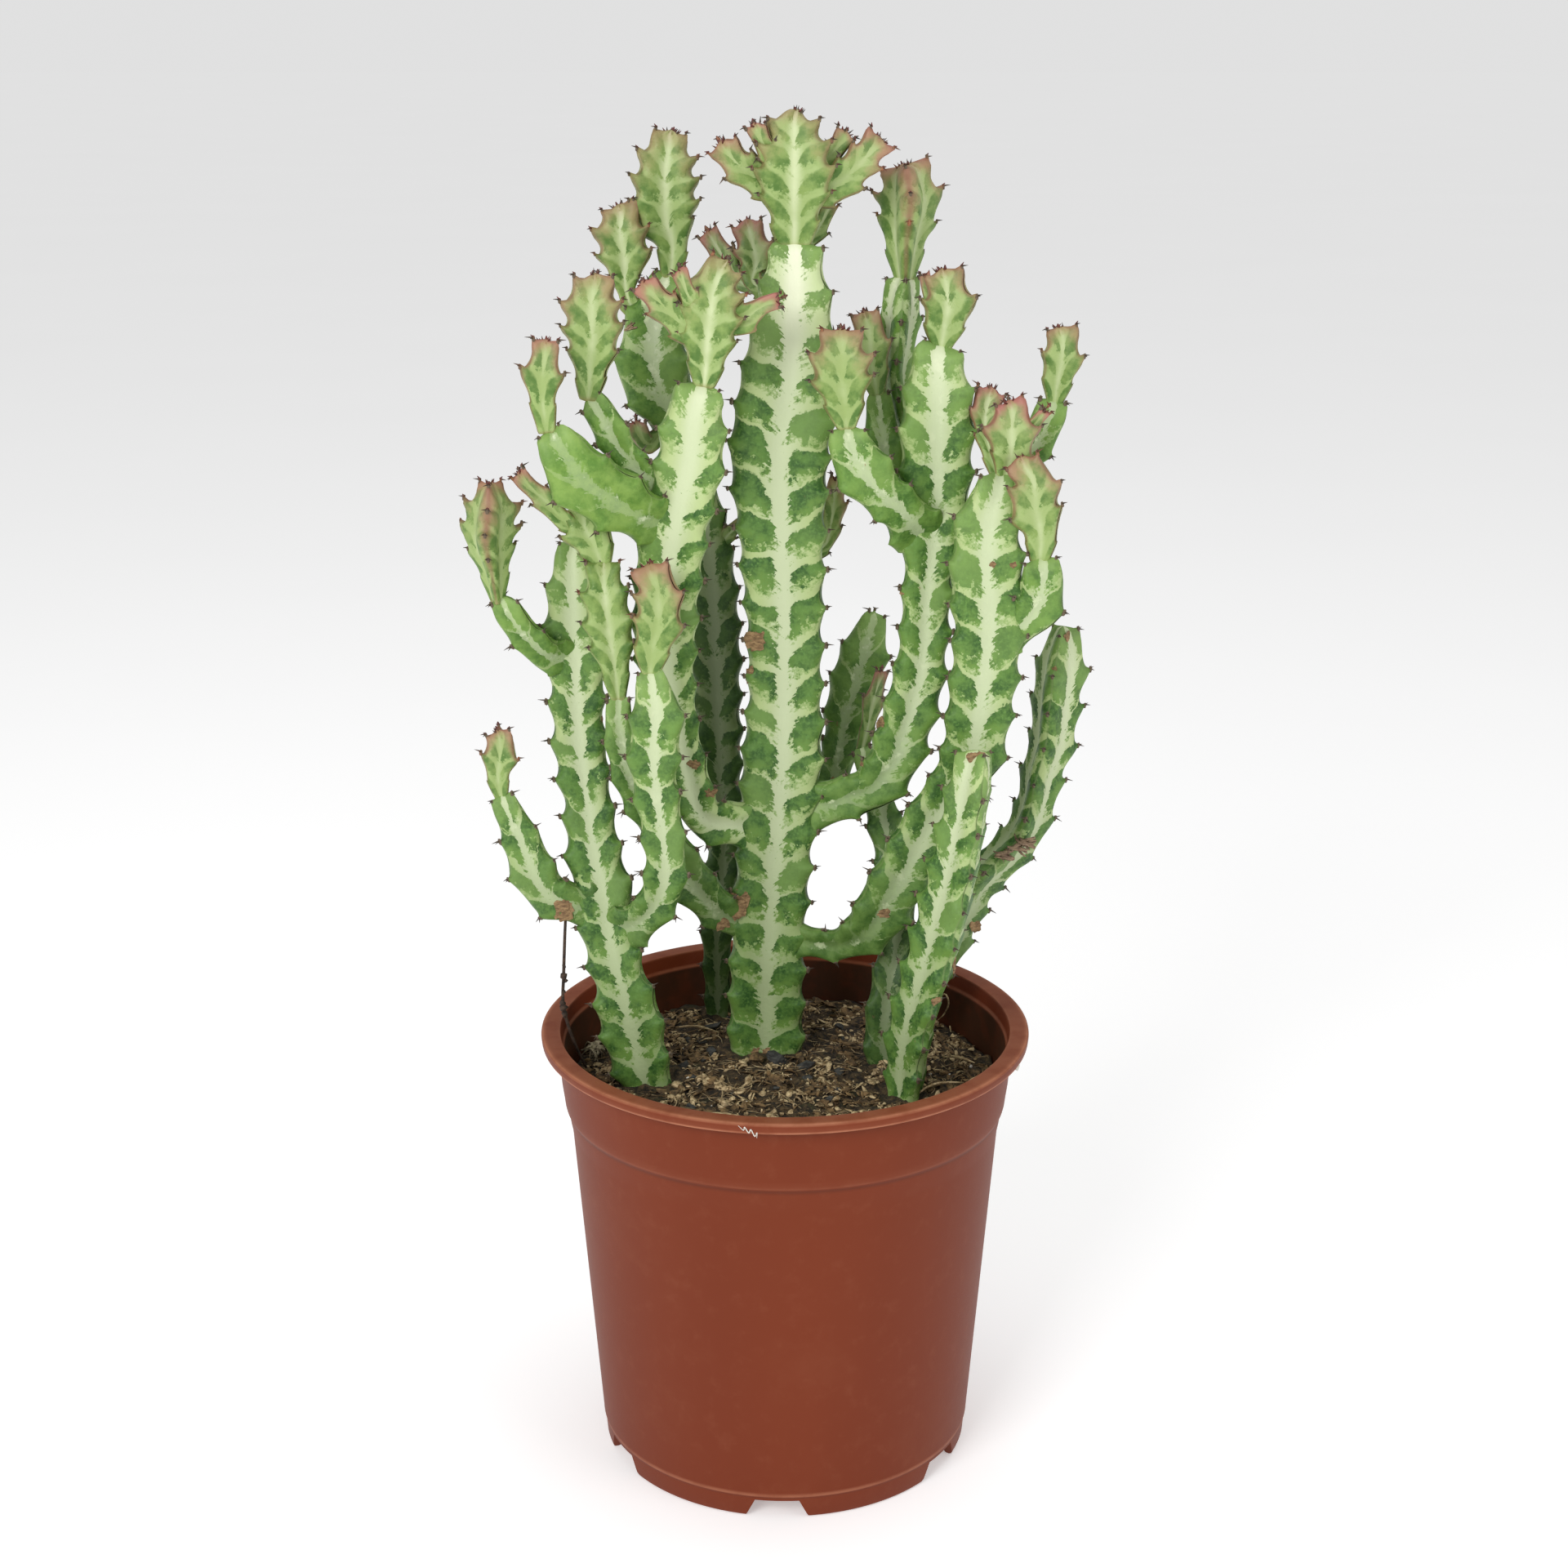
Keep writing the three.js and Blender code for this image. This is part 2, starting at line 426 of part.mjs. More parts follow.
// The bed of soil, clear of the pot's wall even where the flats of the two
// many-sided outlines come closest, with a plain hole for each stem.
function soil(stems) {
  const low = FOOT_TOP + CLEARANCE;
  const flats = RIM_RADIUS * (1 - Math.cos(Math.PI / POT_SIDES));
  const inset = WALL + 1.6 * CLEARANCE + flats;
  const topRadius = COLLAR_LOW_RADIUS - inset;
  const profile = [
    [0, low],
    [FOOT_RADIUS - inset, low],
    [STEP_RADIUS - inset, STEP_Z],
    [topRadius, COLLAR_LOW_Z + 1],
  ];
  for (let ring = 0; ring <= SOIL_RINGS; ring += 1) {
    profile.push([topRadius * (1 - ring / SOIL_RINGS), SOIL_TOP]);
  }
  const outline = profile.map(([r, z]) => new THREE.Vector2(r, z));
  const geometry = upright(new THREE.LatheGeometry(outline, SOIL_SIDES));
  const place = geometry.attributes.position;
  for (let i = 0; i < place.count; i += 1) {
    if (place.getZ(i) > SOIL_TOP - 1) place.setZ(i, soilHeight(place.getX(i), place.getY(i)));
  }
  const holes = stems.map(({ stem, trunk }) => toSolid(ribbedStem(stem ?? trunk, 2 * CLEARANCE)));
  return holes.reduce((ground, hole) => ground.subtract(hole), toSolid(geometry));
}

const plants = [CENTRE, LEFT, FRONT_RIGHT, BACK_LEFT, BACK_RIGHT];
const euphorbia = new THREE.Group();
euphorbia.add(
  toMesh('pot', pot(), PLASTIC),
  toMesh('soil', soil(plants), EARTH),
  toMesh('stem_centre', growPlant(CENTRE), GREEN),
  toMesh('stem_left', growPlant(LEFT).add(dryRoot()), GREEN),
  toMesh('stem_front_right', growPlant(FRONT_RIGHT), GREEN),
  toMesh('stem_back_left', growPlant(BACK_LEFT), SHADED_GREEN),
  toMesh('stem_back_right', growPlant(BACK_RIGHT), SHADED_GREEN),
);

export default euphorbia;
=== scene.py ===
"""A potted candelabra euphorbia: marbled three-ribbed stems in a brown nursery pot."""
import math
import random
from dataclasses import dataclass

import bmesh
import bpy
from mathutils import Matrix, Vector, noise


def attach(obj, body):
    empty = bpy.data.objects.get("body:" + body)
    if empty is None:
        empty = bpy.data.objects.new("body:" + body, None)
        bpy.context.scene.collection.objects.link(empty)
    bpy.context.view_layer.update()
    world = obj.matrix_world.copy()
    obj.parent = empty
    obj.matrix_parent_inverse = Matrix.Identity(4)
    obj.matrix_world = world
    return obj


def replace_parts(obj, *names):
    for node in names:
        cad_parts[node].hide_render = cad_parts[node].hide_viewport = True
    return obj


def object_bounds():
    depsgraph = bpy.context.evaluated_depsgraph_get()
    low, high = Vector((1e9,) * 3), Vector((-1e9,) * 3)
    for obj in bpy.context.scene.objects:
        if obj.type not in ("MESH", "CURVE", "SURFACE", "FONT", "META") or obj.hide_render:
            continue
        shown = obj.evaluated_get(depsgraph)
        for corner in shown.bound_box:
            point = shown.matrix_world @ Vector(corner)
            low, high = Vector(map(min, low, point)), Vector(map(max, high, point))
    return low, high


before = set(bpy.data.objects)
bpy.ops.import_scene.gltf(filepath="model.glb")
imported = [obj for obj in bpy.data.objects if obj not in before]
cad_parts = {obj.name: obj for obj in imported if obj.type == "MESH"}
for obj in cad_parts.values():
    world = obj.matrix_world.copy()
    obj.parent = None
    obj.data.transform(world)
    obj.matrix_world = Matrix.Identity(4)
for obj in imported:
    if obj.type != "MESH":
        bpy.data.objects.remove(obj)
CAD_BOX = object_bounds()

MM = 0.001


@dataclass
class Growth:
    """How one kind of growth is shaped; lengths are in millimetres."""

    pitch: float    # from tooth to tooth along a rib
    crowd: float    # how much closer the teeth stand towards the tip
    ratio: float    # the ribs' radius to the half width that is given
    hollow: float   # how far the faces between the ribs are sunk
    depth: float    # how deep a rib is scooped out between two teeth
    share: float    # the most of the radius that this scoop may take
    cusp: float     # how pointed the teeth are; less is sharper
    lift: float     # how far a tooth leans towards the tip
    cap: float      # the length over which the tip closes


OLD = Growth(pitch=12.8, crowd=1.0, ratio=1.26, hollow=0.24, depth=3.4,
             share=0.27, cusp=0.65, lift=1.5, cap=4.0)
YOUNG = Growth(pitch=9, crowd=1.25, ratio=1.22, hollow=0.32, depth=4.2,
               share=0.33, cusp=0.7, lift=2.3, cap=3.0)

# Stems: sizes in millimetres.
AROUND = 42
RING_STEP = 0.8
WING_EDGE = 1.9
WING_FULL_AT = 11
CREST_SHARPNESS = 14
TOOTH_TIP = 0.5
RIB_JITTER = 0.13
RIPPLE, RIPPLE_FROM = 0.4, 2
MERGE_LENGTH = 16
ROOT_CAP = 1.2
LEAST_RADIUS = 0.4
BARE_ROOT = 9.0
BARE_SHORT_ROOT = 6
BARE_ABOVE_SOIL = 6
BARE_TIP = 2.2
LAST_SPINE = 0.6
# Over this length the painted shade fades out towards an old stem's tip.
SHADE_FADE_LENGTH = 75
SPINE_LENGTH = 2.7
SPINE_RADIUS = 0.38
PAD_RADIUS = 0.9
# The skin's pattern is shifted by this much from one stem to the next, so that no two are alike.
SKIN_APART = 23

# Soil and pot: sizes in millimetres.
SOIL_TOP = 135.5
SOIL_MOUND, MOUND_RADIUS = 2.5, 75.1
PLANT_FOOT, PLANT_SPAN = 135, 280
SOIL_RADIUS = 75.0
SOIL_RINGS = 58
LITTER_RADIUS = 73
WALL_AT_SOIL = 74.8
POT_TURNS = 180
NOTCHES = 6
NOTCH_TURN = -2.4
NOTCH_TOP, NOTCH_FOOT = 15.2, 22.6
FOOT_RADIUS = 64
DRAIN_RADIUS, DRAIN_CIRCLE = 4, 38


@dataclass
class Axis:
    """One stem, branch or bud: (x, y, z, half width) points in millimetres, from root to tip.

    The tint is how plain green an old stem is, or how far the red-brown spreads on a young one.
    """

    name: str
    points: list
    young: bool = False
    turn: float = 0.0
    tint: float = 0.0


def bud(name, points, **more):
    return Axis(name, points, young=True, **more)


AXES = {
    "stem_centre": [
        Axis("trunk", [(-7, 25, 112, 12.5), (-7, 25, 134, 13.5), (-6, 23, 179, 13.5), (-3, 21, 222, 13.5),
             (-1, 20, 250, 14), (0, 19, 279, 13), (-1, 17, 325, 14.5), (-2, 16, 352, 16.5),
             (0, 16, 370, 16.5), (2, 15, 391, 14.5), (3, 15, 409, 11.5), (3, 15, 424, 8)]),
        bud("crown", [(3, 15, 421, 6), (3, 15, 433, 9.5), (3, 15, 442, 13), (3, 15, 452, 12),
             (3, 15, 461, 8.5), (4, 15, 465, 6)], tint=0.3),
        bud("crown_left", [(0, 15, 441, 6), (-7, 14, 443, 6.5), (-15, 13, 448, 6),
             (-21, 12, 455, 4.5)], tint=0.6),
        bud("crown_right", [(5, 15, 439, 5.5), (15, 16, 441, 6.5), (23, 17, 447, 6.5),
             (31, 18, 456, 5)], tint=0.7),
        bud("crown_prong_left", [(0, 13, 448, 4), (-6, 11, 453, 4), (-10, 9, 461, 3)], tint=0.7),
        bud("crown_prong_right", [(8, 17, 447, 4), (15, 19, 451, 4), (20, 21, 458, 3)], tint=0.7),
        bud("crown_back", [(6, 20, 422, 3), (11, 26, 427, 3.5), (15, 30, 434, 2)], tint=0.4),
        bud("back_bud_tall", [(-3, 20, 405, 3.5), (-10, 30, 409, 4), (-10, 34, 417, 7),
             (-13, 36, 429, 4)], tint=0.9),
        bud("back_bud_low", [(-8, 29, 407, 3), (-15, 33, 409, 3), (-20, 36, 416, 5),
             (-26, 38, 425, 3)], tint=0.9),
        bud("rear_bud", [(0, 20, 313, 2.5), (13, 34, 319, 3), (16, 38, 328, 4.5), (17, 40, 336, 4.5),
             (18, 41, 341, 2.5)], tint=0.5),
        Axis("rear_arm", [(-2, 26, 215, 5), (14, 43, 226, 6), (20, 55, 242, 7), (23, 57, 257, 9),
             (27, 58, 271, 9.5), (30, 58, 282, 7), (32, 58, 290, 3)], tint=0.5),
        Axis("left_arm", [(-7, 20, 223, 11), (-19, 15, 226, 9), (-28, 11, 230, 8), (-32, 9, 241, 7.5),
             (-35, 7, 258, 7), (-38, 5, 274, 8.5), (-40, 3, 293, 11), (-39, 1, 313, 11.5),
             (-36, 0, 334, 11.5), (-31, -3, 355, 11.5), (-29, -6, 371, 10.5), (-26, -8, 381, 7)]),
        bud("left_arm_bud", [(-26, -8, 379, 3.5), (-25, -9, 389, 7), (-24, -10, 400, 10.5),
             (-22, -11, 412, 9.5), (-20, -11, 417, 6.5), (-18, -11, 420, 3.5)], tint=0.3),
        bud("left_bud_arm_left", [(-25, -10, 396, 5), (-31, -12, 399, 5.5), (-38, -14, 406, 5.5),
             (-45, -16, 414, 4)], tint=0.8),
        bud("left_bud_prong", [(-26, -12, 404, 3), (-30, -15, 409, 3.5), (-33, -18, 418, 2.5)], tint=0.8),
        bud("left_bud_arm_right", [(-20, -10, 400, 5), (-13, -11, 402, 5), (-7, -12, 406, 3.5),
             (-2, -13, 408, 2)], tint=0.9),
        Axis("side_arm", [(-36, -1, 343, 9), (-44, -4, 349, 6), (-52, -6, 358, 5.5), (-57, -8, 367, 6),
             (-60, -9, 373, 5), (-63, -10, 377, 3)], tint=0.42),
        bud("side_arm_bud", [(-63, -10, 375, 3), (-62, -10, 385, 6), (-61, -10, 396, 9.5),
             (-61, -10, 407, 9.5), (-60, -10, 413, 6.5), (-60, -10, 416, 3.5)], tint=0.45),
        Axis("front_arm", [(-38, -1, 334, 8.5), (-46, -7, 338, 9), (-56, -15, 346, 11), (-65, -21, 354, 11),
             (-70, -24, 362, 9), (-74, -25, 369, 3.5)], tint=0.75),
        bud("front_arm_bud", [(-75, -25, 367, 3), (-76, -25, 377, 4.5), (-76, -25, 385, 7),
             (-75, -25, 393, 5), (-75, -25, 397, 3)], tint=0.65),
        Axis("low_arm", [(-8, 22, 186, 10), (-20, 17, 191, 7.5), (-28, 12, 200, 8), (-36, 8, 213, 8),
             (-43, 3, 228, 7), (-49, -2, 240, 6.5), (-53, -7, 253, 6), (-55, -11, 268, 5.5),
             (-55, -13, 279, 3)], tint=0.4),
        bud("low_arm_second", [(-55, -13, 276, 2.5), (-56, -13, 289, 5.5), (-57, -13, 298, 8),
             (-58, -14, 308, 8.5), (-59, -13, 318, 7), (-59, -12, 324, 4)]),
        bud("low_arm_bud", [(-59, -12, 321, 3), (-62, -10, 329, 7.5), (-65, -8, 335, 8),
             (-67, -7, 342, 4.5)], tint=0.15),
        bud("low_arm_side_bud", [(-64, -9, 332, 2.5), (-72, -10, 337, 3.5), (-78, -11, 344, 4),
             (-83, -12, 349, 3.5), (-86, -12, 353, 2)], tint=0.7),
        Axis("right_arm", [(3, 20, 232, 12), (12, 18, 232, 10), (21, 16, 235, 8), (30, 15, 239, 9),
             (37, 15, 248, 10), (41, 15, 260, 10), (45, 14, 276, 9.5), (47, 14, 292, 9), (48, 14, 312, 9),
             (50, 14, 333, 11), (50, 14, 353, 12.5), (50, 14, 372, 12), (50, 14, 386, 9),
             (51, 14, 391, 5.5)], tint=0.1),
        bud("right_arm_bud", [(51, 14, 388, 3), (52, 14, 397, 7.5), (53, 14, 404, 9), (52, 14, 411, 7),
             (51, 14, 415, 4)], tint=0.5),
        bud("right_arm_prong", [(50, 16, 400, 2.5), (47, 20, 407, 2.5), (46, 22, 412, 1.5)], tint=0.8),
        Axis("inner_arm", [(46, 12, 327, 11), (38, 5, 338, 8), (31, 0, 345, 8.5), (25, -3, 353, 9.5),
             (21, -4, 361, 7.5), (20, -5, 367, 3.5)], tint=0.35),
        bud("inner_arm_bud", [(20, -5, 365, 3), (19, -5, 375, 7.5), (18, -5, 385, 11), (18, -5, 394, 8),
             (18, -5, 398, 4.5)], tint=0.5),
        Axis("rear_right_arm", [(44, 18, 334, 5.5), (37, 22, 343, 6), (33, 25, 357, 6.5),
             (32, 26, 366, 5.5), (31, 26, 373, 3.5)], tint=0.4),
        bud("rear_right_bud", [(31, 26, 371, 2.5), (29, 26, 383, 6.5), (28, 26, 393, 6.5),
             (26, 26, 400, 3.5)], tint=0.6),
        Axis("top_arm", [(51, 21, 343, 5.5), (46, 30, 352, 6), (40, 33, 364, 6), (37, 34, 377, 6),
             (38, 34, 390, 7), (39, 34, 402, 7), (40, 34, 411, 4)], tint=0.3, turn=60),
        bud("top_arm_bud", [(40, 34, 408, 3.5), (40, 34, 422, 8), (41, 34, 434, 11.5), (40, 34, 443, 9.5),
             (39, 34, 447, 5)], tint=0.6, turn=60),
        Axis("tall_arm", [(-2, 22, 182, 10), (11, 16, 181, 6), (21, 11, 183, 6.5), (30, 7, 191, 9.5),
             (36, 4, 203, 10.5), (42, 2, 215, 10.5), (49, 1, 230, 10), (58, -1, 245, 10), (63, -3, 258, 11),
             (65, -4, 274, 11.5), (67, -5, 299, 12), (66, -5, 319, 12.5), (66, -5, 335, 11),
             (69, -5, 346, 7.5), (70, -5, 352, 3.5)], tint=0.1),
        bud("tall_arm_bud", [(71, -5, 349, 3), (73, -5, 357, 7), (73, -5, 366, 9.5), (73, -5, 372, 6),
             (72, -5, 375, 3.5)], tint=0.9),
        bud("tall_arm_prong", [(74, -5, 362, 3), (79, -6, 366, 3), (84, -7, 372, 1.5)], tint=0.9),
        bud("tall_arm_rear_bud", [(70, 0, 349, 3), (66, 8, 362, 4), (66, 11, 370, 6),
             (68, 12, 377, 3.5)], tint=0.9),
        Axis("outer_arm", [(67, -6, 295, 9), (76, -8, 300, 6.5), (82, -9, 307, 8), (84, -10, 316, 8),
             (84, -10, 325, 4)], tint=0.3),
        bud("outer_arm_bud", [(83, -10, 322, 3), (83, -10, 333, 6.5), (81, -10, 341, 9), (80, -10, 350, 8),
             (77, -10, 355, 5.5), (76, -10, 358, 3)], tint=0.6),
        Axis("outer_rear_arm", [(69, 0, 343, 4), (75, 10, 351, 5.5), (83, 14, 358, 6), (87, 16, 366, 6),
             (89, 17, 372, 3.5)], tint=0.4),
        bud("outer_rear_bud", [(89, 17, 369, 2.5), (90, 17, 379, 6), (91, 17, 385, 7), (91, 17, 392, 6),
             (90, 17, 396, 3.5)], tint=0.45),
    ],
    "stem_left": [
        Axis("stem", [(-47, -4, 112, 9), (-48, -4, 134, 9.5), (-51, -4, 147, 11), (-54, -3, 162, 11.5),
             (-57, -3, 175, 10), (-60, -2, 188, 10), (-62, -1, 205, 10.5), (-65, 0, 219, 10),
             (-67, 2, 236, 9), (-69, 4, 252, 9.5), (-70, 5, 269, 9.5), (-70, 6, 286, 10.5),
             (-71, 7, 299, 10), (-71, 8, 313, 8), (-71, 9, 321, 6), (-70, 9, 327, 2)]),
        Axis("high_arm", [(-70, 4, 287, 6), (-79, -1, 290, 6.5), (-85, -6, 297, 5.5), (-90, -10, 305, 5.5),
             (-93, -12, 312, 3)], tint=0.5),
        bud("high_arm_bud", [(-94, -12, 309, 2.5), (-95, -13, 321, 6), (-96, -14, 332, 9.5),
             (-95, -14, 342, 9), (-95, -14, 347, 5), (-95, -14, 350, 3)], tint=0.6, turn=60),
        Axis("low_arm", [(-61, -2, 200, 10), (-72, -4, 203, 8), (-81, -6, 208, 8), (-86, -8, 218, 8),
             (-89, -9, 228, 6.5), (-93, -10, 238, 5), (-95, -10, 244, 2.5)], tint=0.2),
        bud("low_arm_bud", [(-95, -10, 241, 2), (-96, -10, 250, 4.5), (-95, -10, 258, 6.5),
             (-95, -10, 263, 4.5), (-96, -10, 266, 2.5)], tint=0.6),
        Axis("front_arm", [(-58, -3, 192, 10), (-48, -9, 200, 7.5), (-42, -14, 210, 7.5),
             (-40, -17, 221, 7.5), (-41, -19, 236, 7.5), (-43, -20, 251, 8), (-43, -21, 262, 9),
             (-42, -22, 275, 9), (-43, -22, 284, 6.5), (-44, -22, 290, 3)], tint=0.1),
        bud("front_arm_bud", [(-44, -22, 287, 3), (-43, -22, 297, 6.5), (-41, -22, 306, 8.5),
             (-41, -22, 316, 8), (-43, -22, 322, 6.5), (-44, -22, 325, 3.5)], tint=0.6),
    ],
    "stem_front_right": [
        Axis("stem", [(39, -18, 112, 6.5), (42, -18, 137, 7), (43, -18, 153, 8.5), (45.5, -19, 168, 9),
             (50, -20, 185, 9.5), (53.5, -21, 200, 9.8), (56.5, -22, 215, 9.4), (59, -23, 230, 9),
             (61, -23, 244, 8.2), (62.5, -24, 255, 7.6), (63.5, -24, 263, 4.5)], turn=-42),
    ],
    "stem_back_left": [
        Axis("stem", [(-26, 58, 112, 5), (-25, 58, 137, 5), (-25, 57, 169, 6), (-22, 56, 205, 7),
             (-23, 55, 222, 7.5), (-24, 54, 243, 9), (-25, 52, 288, 9.5), (-26, 51, 309, 8.5),
             (-29, 51, 328, 8), (-32, 50, 343, 6), (-36, 50, 353, 4)], tint=0.1),
        Axis("second", [(-35, 50, 349, 4), (-39, 50, 361, 9), (-44, 50, 375, 13), (-45, 50, 388, 11.5),
             (-43, 50, 400, 8.5), (-40, 50, 410, 4)], tint=0.35),
        bud("top_bud", [(-39, 50, 407, 3.5), (-38, 50, 419, 6), (-40, 50, 429, 11), (-40, 50, 442, 11.5),
             (-39, 50, 451, 8.5), (-38, 50, 457, 4.5)], tint=0.3),
        bud("side_bud", [(-46, 49, 393, 4), (-52, 48, 399, 3.5), (-54, 47, 406, 4), (-54, 46, 415, 9),
             (-55, 46, 424, 9.5), (-55, 46, 430, 7), (-56, 46, 433, 4)], tint=0.4),
        bud("small_bud", [(-42, 48, 356, 3), (-47, 45, 353, 3.5), (-50, 43, 357, 4),
             (-51, 42, 361, 2)], tint=0.9),
        bud("side_twig", [(-27, 50, 304, 3), (-26, 49, 311, 3), (-21, 48, 319, 3), (-16, 47, 324, 3),
             (-13, 46, 326, 1.5)], tint=0.3),
    ],
    "stem_back_right": [
        Axis("stem", [(36, 12, 112, 7), (36, 12, 135, 7.5), (35, 13, 150, 7.5), (37, 16, 165, 7),
             (39, 20, 177, 6.5), (40, 25, 191, 7), (39, 30, 204, 7), (36, 34, 217, 6.5), (33, 37, 228, 6),
             (29, 39, 238, 4), (27, 40, 246, 3)], tint=0.2),
        bud("bud", [(27, 40, 243, 2.5), (29, 40, 252, 3), (31, 40, 262, 4), (34, 40, 273, 2)], tint=0.8),
        Axis("far_arm", [(39, 17, 156, 5), (48, 17, 164, 6.5), (55, 18, 175, 7.5), (61, 18, 189, 8),
             (67, 20, 201, 8), (76, 21, 210, 7.5), (83, 21, 219, 7.5), (87, 21, 230, 7.5), (89, 21, 241, 8),
             (92, 21, 253, 8.5), (93, 21, 266, 9), (94.3, 21, 279, 9), (95, 21, 288, 6.5),
             (95, 21, 294, 2.5)], turn=42),
    ],
}

# Which axes of the middle plant form its left and right crowns; the rest are its trunk.
CENTRE_LEFT = ("left", "side", "front", "low")
CENTRE_RIGHT = ("right", "inner", "rear_right", "top", "tall", "outer")
# Painted shade: stems that stand in the others' shade get their skin colour darkened; the value is how light
# it is.
SHADE = {
    "stem_centre": {"trunk": 0.89, "rear_arm": 0.75, "back_bud_tall": 0.65, "back_bud_low": 0.65,
                    "low_arm": 0.85, "rear_right_arm": 0.85, "rear_right_bud": 0.9, "crown_back": 0.8,
                    "tall_arm": 0.94},
    "stem_left": {"stem": 0.9, "low_arm": 0.86, "front_arm": 0.92},
    "stem_front_right": {"stem": 0.96},
    "stem_back_left": {"stem": 0.36, "second": 0.7, "small_bud": 0.65, "side_twig": 0.7},
    "stem_back_right": {"stem": 0.5, "bud": 0.7, "far_arm": 0.86},
}
# Young growth that is plain green rather than marbled, and old stems with a wide pale stripe;
# the value is how much so.
PLAIN = {
    "left_arm": 1.0, "tall_arm": 0.2, "front_arm_bud": 0.9, "inner_arm_bud": 1.0, "side_arm_bud": 0.5,
    "tall_arm_bud": 0.4, "outer_arm_bud": 0.5, "top_arm_bud": 0.3, "low_arm_side_bud": 1.0,
    "high_arm_bud": 0.8, "low_arm_bud": 0.8, "small_bud": 1.0, "low_arm_second": 0.35,
    "right_arm_bud": 0.3, "outer_rear_bud": 0.3, "rear_right_bud": 0.7, "left_bud_arm_left": 0.9,
    "left_bud_arm_right": 0.9, "crown_left": 0.9, "crown_right": 0.8, "crown_prong_left": 1.0,
    "crown_prong_right": 1.0, "left_bud_prong": 1.0, "tall_arm_prong": 1.0,
}
# Arms whose first third is nearly plain green; the value is how much so.
GREEN_BASE = {"right_arm": 0.7, "tall_arm": 0.9, "low_arm": 0.6, "front_arm": 0.4, "far_arm": 0.5}
# Tips that narrow over a longer stretch than the others, in millimetres.
LONG_CAPS = {"crown": 8.0, "left_arm_bud": 4.5, "top_bud": 5.0, "side_arm_bud": 4.0, "high_arm_bud": 4.0}
# The slot of each look; every other look is dry matter.
SLOTS = {"stem_skin": "stem_skin", "young_growth": "young_growth", "young_leaflet": "young_growth",
         "spine": "spine", "soil": "soil", "perlite": "perlite", "pot_plastic": "pot_plastic"}
# What the skin's materials read at each place of a stem.
SKIN_MARKS = ("tip", "tint", "shade", "height", "plain")


# ---------------------------------------------------------------- shader helpers


class Value:
    """What a shader node puts out. It adds, subtracts and multiplies as a number does."""

    def __init__(self, graph, socket):
        self.graph, self.socket = graph, socket

    def __add__(self, other):
        return self.graph.math("ADD", self, other)

    def __sub__(self, other):
        return self.graph.math("SUBTRACT", self, other)

    def __rsub__(self, other):
        return self.graph.math("SUBTRACT", other, self)

    def __mul__(self, other):
        return self.graph.math("MULTIPLY", self, other)

    __radd__, __rmul__ = __add__, __mul__


class Graph:
    """Short calls for adding and wiring shader nodes in one tree."""

    def __init__(self, tree):
        self.tree = tree

    def plug(self, socket, value):
        if isinstance(value, Value):
            self.tree.links.new(value.socket, socket)
        elif isinstance(value, tuple) and len(value) == 3 and socket.type == "RGBA":
            socket.default_value = (*value, 1.0)
        else:
            socket.default_value = value

    def add(self, kind, inputs=None, **settings):
        """Adds a node and gives what it puts out, by name and by number."""
        node = self.tree.nodes.new(kind)
        for key, value in settings.items():
            setattr(node, key, value)
        for key, value in (inputs or {}).items():
            self.plug(node.inputs[key], value)
        made = [Value(self, socket) for socket in node.outputs]
        return dict(enumerate(made)) | {value.socket.name: value for value in made}

    def math(self, operation, *values, clamp=False):
        return self.add("ShaderNodeMath", dict(enumerate(values)), operation=operation, use_clamp=clamp)[0]

    def step(self, value, low, high):
        return self.add("ShaderNodeMapRange", {"Value": value, "From Min": low, "From Max": high},
                        interpolation_type="SMOOTHSTEP")["Result"]

    def mix(self, factor, first, second):
        """A colour between two others."""
        return self.add("ShaderNodeMix", {0: factor, 6: first, 7: second}, data_type="RGBA")[2]

    def blend(self, factor, first, second):
        """A number between two others."""
        return self.add("ShaderNodeMix", {0: factor, 2: first, 3: second}, data_type="FLOAT")[0]

    def noise(self, scale, detail=2.0, rough=0.5, vector=None):
        return self.add("ShaderNodeTexNoise", {"Vector": vector or self.place(), "Scale": scale,
                                               "Detail": detail, "Roughness": rough})["Fac"]

    def place(self):
        return self.add("ShaderNodeTexCoord")["Object"]

    def stretched(self, scale):
        return self.add("ShaderNodeMapping", {"Vector": self.place(), "Scale": scale})["Vector"]

    def vector(self, x, y):
        return self.add("ShaderNodeCombineXYZ", {"X": x, "Y": y})["Vector"]

    def attribute(self, name):
        return self.add("ShaderNodeAttribute", attribute_name=name)["Fac"]

    def bump(self, height, strength, distance):
        inputs = {"Height": height, "Strength": strength, "Distance": distance}
        return self.add("ShaderNodeBump", inputs)["Normal"]

    def use(self, group, **inputs):
        """Places a shared effect in this tree with its own values."""
        inputs = {label.capitalize(): value for label, value in inputs.items()}
        return self.add("ShaderNodeGroup", inputs, node_tree=bpy.data.node_groups[group])

    def coat(self, color, rough, normal=None, shine=None):
        """Feeds the material's own shader."""
        shader = self.tree.nodes["Principled BSDF"].inputs
        self.plug(shader["Base Color"], color)
        self.plug(shader["Roughness"], rough)
        if normal:
            self.plug(shader["Normal"], normal)
        if shine is not None:
            shader["Specular IOR Level"].default_value = shine


def srgb(red, green, blue):
    """A colour as read off a screen, 0 to 255, in the linear values that shaders use."""
    def linear(value):
        value /= 255
        return value / 12.92 if value <= 0.04045 else ((value + 0.055) / 1.055) ** 2.4
    return (linear(red), linear(green), linear(blue))


